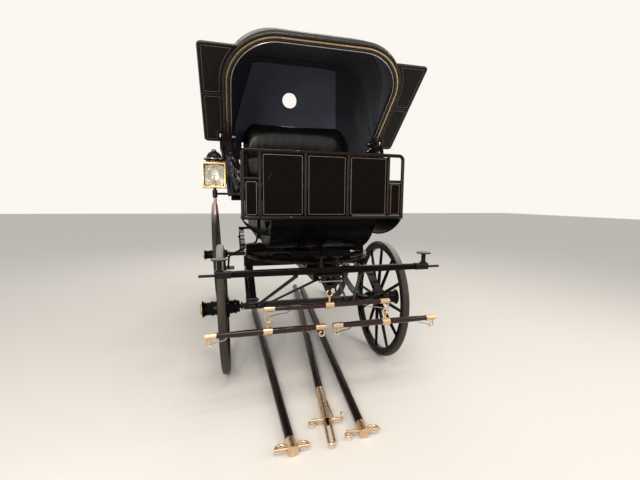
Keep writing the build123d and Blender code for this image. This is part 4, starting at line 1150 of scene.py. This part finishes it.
def seat():
    low, high = box("back_roll")
    middle_y = (low.y + high.y) / 2 + 0.012

    def bolster(p):
        """Rounds the top into a roll, pulls its ends in and tucks the foot under it."""
        up = (p.z - low.z) / (high.z - low.z)
        p.y += ROLL_LEAN * (0.5 - up) * 0.4
        waist = sqrt(max(0.0, 1 - ((up - ROLL_MIDDLE) / ROLL_HALF) ** 2))
        p.y = middle_y + (p.y - middle_y) * max(ROLL_SLIMMEST, waist)
        past = max(0.0, (abs(p.x) / high.x - ROLL_END) / (1 - ROLL_END))
        p.z -= ROLL_DROP * past ** 2.6 * up
        if p.y < middle_y:
            p.y += 0.45 * (middle_y - p.y) * past ** 2
        return p

    pad("seat_cushion", (0.010, 0.010, 0.0005), (0.010, 0.010, 0.014), 0.03, 0.012,
        work=button_down)
    pad("back_roll", (0.012, 0.014, 0.001), (0.012, 0.006, 0.012), 0.062, 0.010,
        held=lambda p: p.y > high.y - 0.02, shape=bolster, work=wrinkle)
    pad("rumble_cushion", (0.010, 0.010, 0.0005), (0.010, 0.010, 0.012), 0.026, 0.010)


seat()


# Lamp: brass front, bevelled glass, silvered reflector, candle and chimney
LAMP_WIDTH, LAMP_TALL = 0.136, 0.151
LAMP_BORDER, REFLECTOR_BACK, REFLECTOR_DEPTH = 0.0135, 0.030, 0.045
CANDLE_BACK = 0.038
CHIMNEY_NECK, CHIMNEY_BRIM, CHIMNEY_DOME = LAMP_WIDTH * 0.36, LAMP_WIDTH * 0.45, 0.084
CHIMNEY_RIVETS = 20
LAMP_LOW, LAMP_HIGH = box("lamp_case")
LAMP_MIDDLE = middle("lamp_glass")
LAMP_FRONT, LAMP_STEM = LAMP_LOW.y, (LAMP_LOW.y + LAMP_HIGH.y) / 2
FRAME_HALF_WIDTH, FRAME_HALF_HEIGHT = LAMP_WIDTH / 2 + 0.001, LAMP_TALL / 2 + 0.001
# Rows of (inset from the frame's outside, ahead of the lamp's case)
FRAME_PROFILE = ((0.0, -0.006), (0.0, 0.0), (0.002, 0.0035), (0.006, 0.0045), (0.009, 0.003),
                 (LAMP_BORDER - 0.002, 0.001), (LAMP_BORDER, -0.004))


def on_lamp(across, y, up):
    """A point across and up from the middle of the lamp's glass, at a place in Y."""
    return Vector((LAMP_MIDDLE.x + across, y, LAMP_MIDDLE.z + up))


def frame_corners(inset, ahead):
    return [on_lamp(x * (FRAME_HALF_WIDTH - inset), LAMP_FRONT - ahead, z * (FRAME_HALF_HEIGHT - inset))
            for x, z in ((-1, -1), (1, -1), (1, 1), (-1, 1))]


def lamp_front():
    """The brass frame with its screws, and the sleeve on the lamp's stem."""
    brass = Pile()
    brass.loft([frame_corners(*row) for row in FRAME_PROFILE], capped=False)
    for corner in frame_corners(0.0070, 0.0042):
        brass.dome(corner, (0, -1, 0), 0.0016, 0.0014, 8)
    brass.piece("lamp_front_frame", "lamp_brass", slot="hub_brass")
    turned_piece("lamp_stem_sleeve", [(0.0, 0.0094), (0.003, 0.0106), (0.008, 0.0098), (0.094, 0.0098),
                                      (0.098, 0.0112), (0.103, 0.0098)],
                 (LAMP_MIDDLE.x, LAMP_STEM, LAMP_LOW.z), 24, "rose_brass", "hub_brass")


def lamp_inside():
    """The reflector, and the candle in its tube."""
    def bowl(up, across):
        u, v = across * 2 - 1, up * 2 - 1
        bulge = 1 - min(1, abs(u) ** 2.4 + abs(v) ** 2.4)
        return on_lamp(u * (FRAME_HALF_WIDTH - LAMP_BORDER),
                       LAMP_FRONT + REFLECTOR_BACK + REFLECTOR_DEPTH * sqrt(bulge),
                       v * (FRAME_HALF_HEIGHT - LAMP_BORDER))

    reflector = mesh_piece("lamp_reflector", *sheet_grid(bowl, 17, 17), "silvered")
    thicken(reflector, 0.0008)
    foot = on_lamp(0, LAMP_FRONT + CANDLE_BACK, 0.006 - LAMP_TALL / 2)
    turned_piece("lamp_candle_tube", [(0, 0.016), (0.004, 0.016), (0.006, 0.0125), (0.036, 0.0125),
                                      (0.040, 0.0140), (0.044, 0.0125), (0.048, 0.0075)],
                 foot, 20, "lamp_brass", "hub_brass")
    wax = Pile()
    wax.turned([(0.046, 0.0070), (0.062, 0.0068), (0.066, 0.0045), (0.0672, 0.0010)], foot, UP)
    wick = ((0, 0, 0.066), (0, 0, 0.072), (0.001, -0.0005, 0.076))
    wax.tube([foot + Vector(p) for p in wick], 0.0007, 6)
    wax.piece("lamp_candle", "wax")


def lamp_chimney():
    """The rings and the cap on the chimney, and the rivets round its neck."""
    top = on_lamp(0, LAMP_STEM, LAMP_TALL / 2)
    neck, brim = CHIMNEY_NECK, CHIMNEY_BRIM
    cap = Pile()
    cap.turned([(0.0, neck + 0.0015), (0.003, neck + 0.003), (0.006, neck + 0.0015)],
               top - UP * 0.0005, UP, 48)
    cap.turned([(-0.0005, brim - 0.001), (0.002, brim + 0.0016), (0.006, brim + 0.0016),
                (0.0085, brim - 0.001)], top + UP * CHIMNEY_DOME * 0.24, UP, 48)
    cap.turned([(0, 0.0150), (0.003, 0.0165), (0.006, 0.0150), (0.010, 0.0118), (0.0123, 0.0060),
                (0.0128, 0.0010)], (LAMP_MIDDLE.x, LAMP_STEM, LAMP_HIGH.z - 0.0133), UP, 24)
    cap.piece("lamp_chimney_trim", "dark_nickel", slot="bright_steel")
    rivets = Pile()
    for k in range(CHIMNEY_RIVETS):
        a = 2 * pi * k / CHIMNEY_RIVETS
        out = Vector((cos(a), sin(a), 0))
        rivets.dome(top + UP * CHIMNEY_DOME * 0.1 + out * (neck - 0.0004), out, 0.0026, 0.0012, 8)
    rivets.piece("lamp_chimney_rivets", "lamp_brass")


lamp_front()
lamp_inside()
lamp_chimney()


# Small hardware on the gear
SPRINGS = (  # node, body, axle, length, opening
    ("front_springs", "fore_carriage", FRONT_AXLE, 0.840, 0.235),
    ("rear_springs", "carriage", REAR_AXLE, 0.900, 0.225),
)
# Rows of (from the hook towards the bar's middle, below the bar's middle line) for each spring tongue
SIDE_TONGUE = ((0.016, -0.030), (0.036, -0.022), (0.066, -0.016), (0.096, -0.012), (0.114, 0.0045))
MAIN_TONGUE = ((0.016, -0.036), (0.040, -0.027), (0.085, -0.019), (0.128, -0.015), (0.150, 0.0015))
TONGUES = (  # body, middle of the bar, hook's distance from it, height, rows
    ("main_bar", 0.0, 0.3885, 0.6365, MAIN_TONGUE),
    ("side_bar_right", -0.373, 0.342, 0.500, SIDE_TONGUE),
    ("side_bar_left", 0.373, 0.342, 0.500, SIDE_TONGUE),
)
BARS_Y = FY - 0.672
WHEELS = (("front", 0.475, 12), ("rear", 0.625, 14))
WHEEL_TILT = radians(2)
TYRE_DEPTH, FELLOE_NUTS_IN, CHANNEL_OUT = 0.020, 0.0455, 0.0245
DISH_FROM, NAVE_RIVETS_R, NAVE_RIVETS_OUT = 0.106, 0.067, 0.026
EYE_BOLT_HALF, EYE_NUTS_OUT, CLIP_NUTS_OUT, CLIP_NUTS_ALONG = 0.027, 0.026, 0.0215, 0.026
ROD_HALF, ROD_SHARE = 0.062, 0.66


def spring_nuts():
    """Nuts on the springs' eye bolts and on the clips that hold their leaves."""
    for node, body, axle, length, opening in SPRINGS:
        low, high = box(node)
        mid_z = (low.z + high.z) / 2
        nuts = Pile()
        for side in (-1, 1):
            x = side * (high.x - EYE_BOLT_HALF)
            for end in (-1, 1):
                for out in (-1, 1):
                    eye = axle.y + end * (length / 2 + 0.002)
                    nuts.nut((x + out * EYE_NUTS_OUT, eye, mid_z), (out, 0, 0), 0.012, 0.007)
            for lift in (-1, 1):
                foot = mid_z + lift * (opening / 2 - 0.006)
                for end in (-1, 1):
                    for out in (-1, 1):
                        place = (x + out * CLIP_NUTS_OUT, axle.y + end * CLIP_NUTS_ALONG, foot)
                        nuts.nut(place, (0, 0, -lift), 0.0085, 0.0065)
        nuts.piece(f"{node}_nuts", "gear_iron", body)


def spring_tongues():
    """Springs that close the mouths of the bars' hooks, each riveted to its bar's underside."""
    for body, middle_x, reach, top, rows in TONGUES:
        tongues = Pile()
        for way in (-1, 1):
            inward = Vector((-way, 0, 0))
            hook = Vector((middle_x + way * reach, BARS_Y, top))
            line = [hook + inward * along + UP * lift for along, lift in rows]
            smooth = [first.lerp(second, k / 4) for first, second in zip(line, line[1:])
                      for k in range(4)]
            foot = line[-1]
            tongues.strip([*smooth, foot], (0, 1, 0), 0.010, 0.0036)
            tongues.strip([foot, foot + inward * 0.022], (0, 1, 0), 0.011, 0.0040)
            tongues.dome(foot + inward * 0.012 - UP * 0.001, -UP, 0.0028, 0.0022, 8)
        tongues.piece(f"{body}_tongues", "tongue_steel", body, slot="bright_steel")


def socket_rod():
    """The rod and its nuts across the front of the pole's socket."""
    low, high = box("pole_socket")
    y, z = low.y - 0.005, low.z + (high.z - low.z) * ROD_SHARE
    rod = Pile()
    rod.tube([(x, y, z) for x in (-ROD_HALF, -0.02, 0.02, ROD_HALF)], 0.0042, 12)
    for side in (-1, 1):
        rod.nut((side * ROD_HALF, y, z), (side, 0, 0), 0.0085, 0.007)
    for side in (-1, 1):
        rod.dome((side * 0.066, low.y + 0.001, z + 0.024), (0, -1, 0), 0.0055, 0.0045)
    rod.piece("socket_rod", "dark_nickel", "fore_carriage", slot="gear_iron")


def wheel_trim(end, name, side, radius, spokes):
    """Steel channel beside the tyre, nuts through the felloe and rivets round the nave."""
    body = f"{end}_wheel_{name}"
    joint = next(j for j in frame["joints"] if j["child"] == body)
    centre = Vector(joint["pos_m"])
    axis = Vector((side * cos(WHEEL_TILT), 0, -sin(WHEEL_TILT)))
    up = (UP - axis * UP.dot(axis)).normalized()
    fore = axis.cross(up)
    felloe = radius - TYRE_DEPTH
    dish = (felloe - DISH_FROM) * tan(WHEEL_TILT)

    def outward(step, count):
        a = 2 * pi * (step + 0.5) / count
        return up * cos(a) + fore * sin(a)

    channel, rivets = Pile(), Pile()
    for way in (-1, 1):
        ring = circle(centre + axis * (way * CHANNEL_OUT), up, fore, felloe + 0.001, 96)
        channel.tube(ring, 0.0028, 6, closed=True)
    for k in range(spokes // 2):
        out = outward(k, spokes // 2)
        rivets.nut(centre + out * (felloe - FELLOE_NUTS_IN), -out, 0.0085, 0.006)
    for k in range(spokes):
        for way in (-1, 1):
            place = outward(k, spokes) * NAVE_RIVETS_R + axis * (way * NAVE_RIVETS_OUT - dish)
            rivets.dome(centre + place, axis * way, 0.0045, 0.004, 8)
    channel.piece(f"wheel_{end}_{name}_channel", "gear_iron", body)
    rivets.piece(f"wheel_{end}_{name}_rivets", "gear_iron", body)


spring_nuts()
spring_tongues()
socket_rod()
for wheel_end, wheel_radius, wheel_spokes in WHEELS:
    for wheel_name, wheel_side in SIDES:
        wheel_trim(wheel_end, wheel_name, wheel_side, wheel_radius, wheel_spokes)
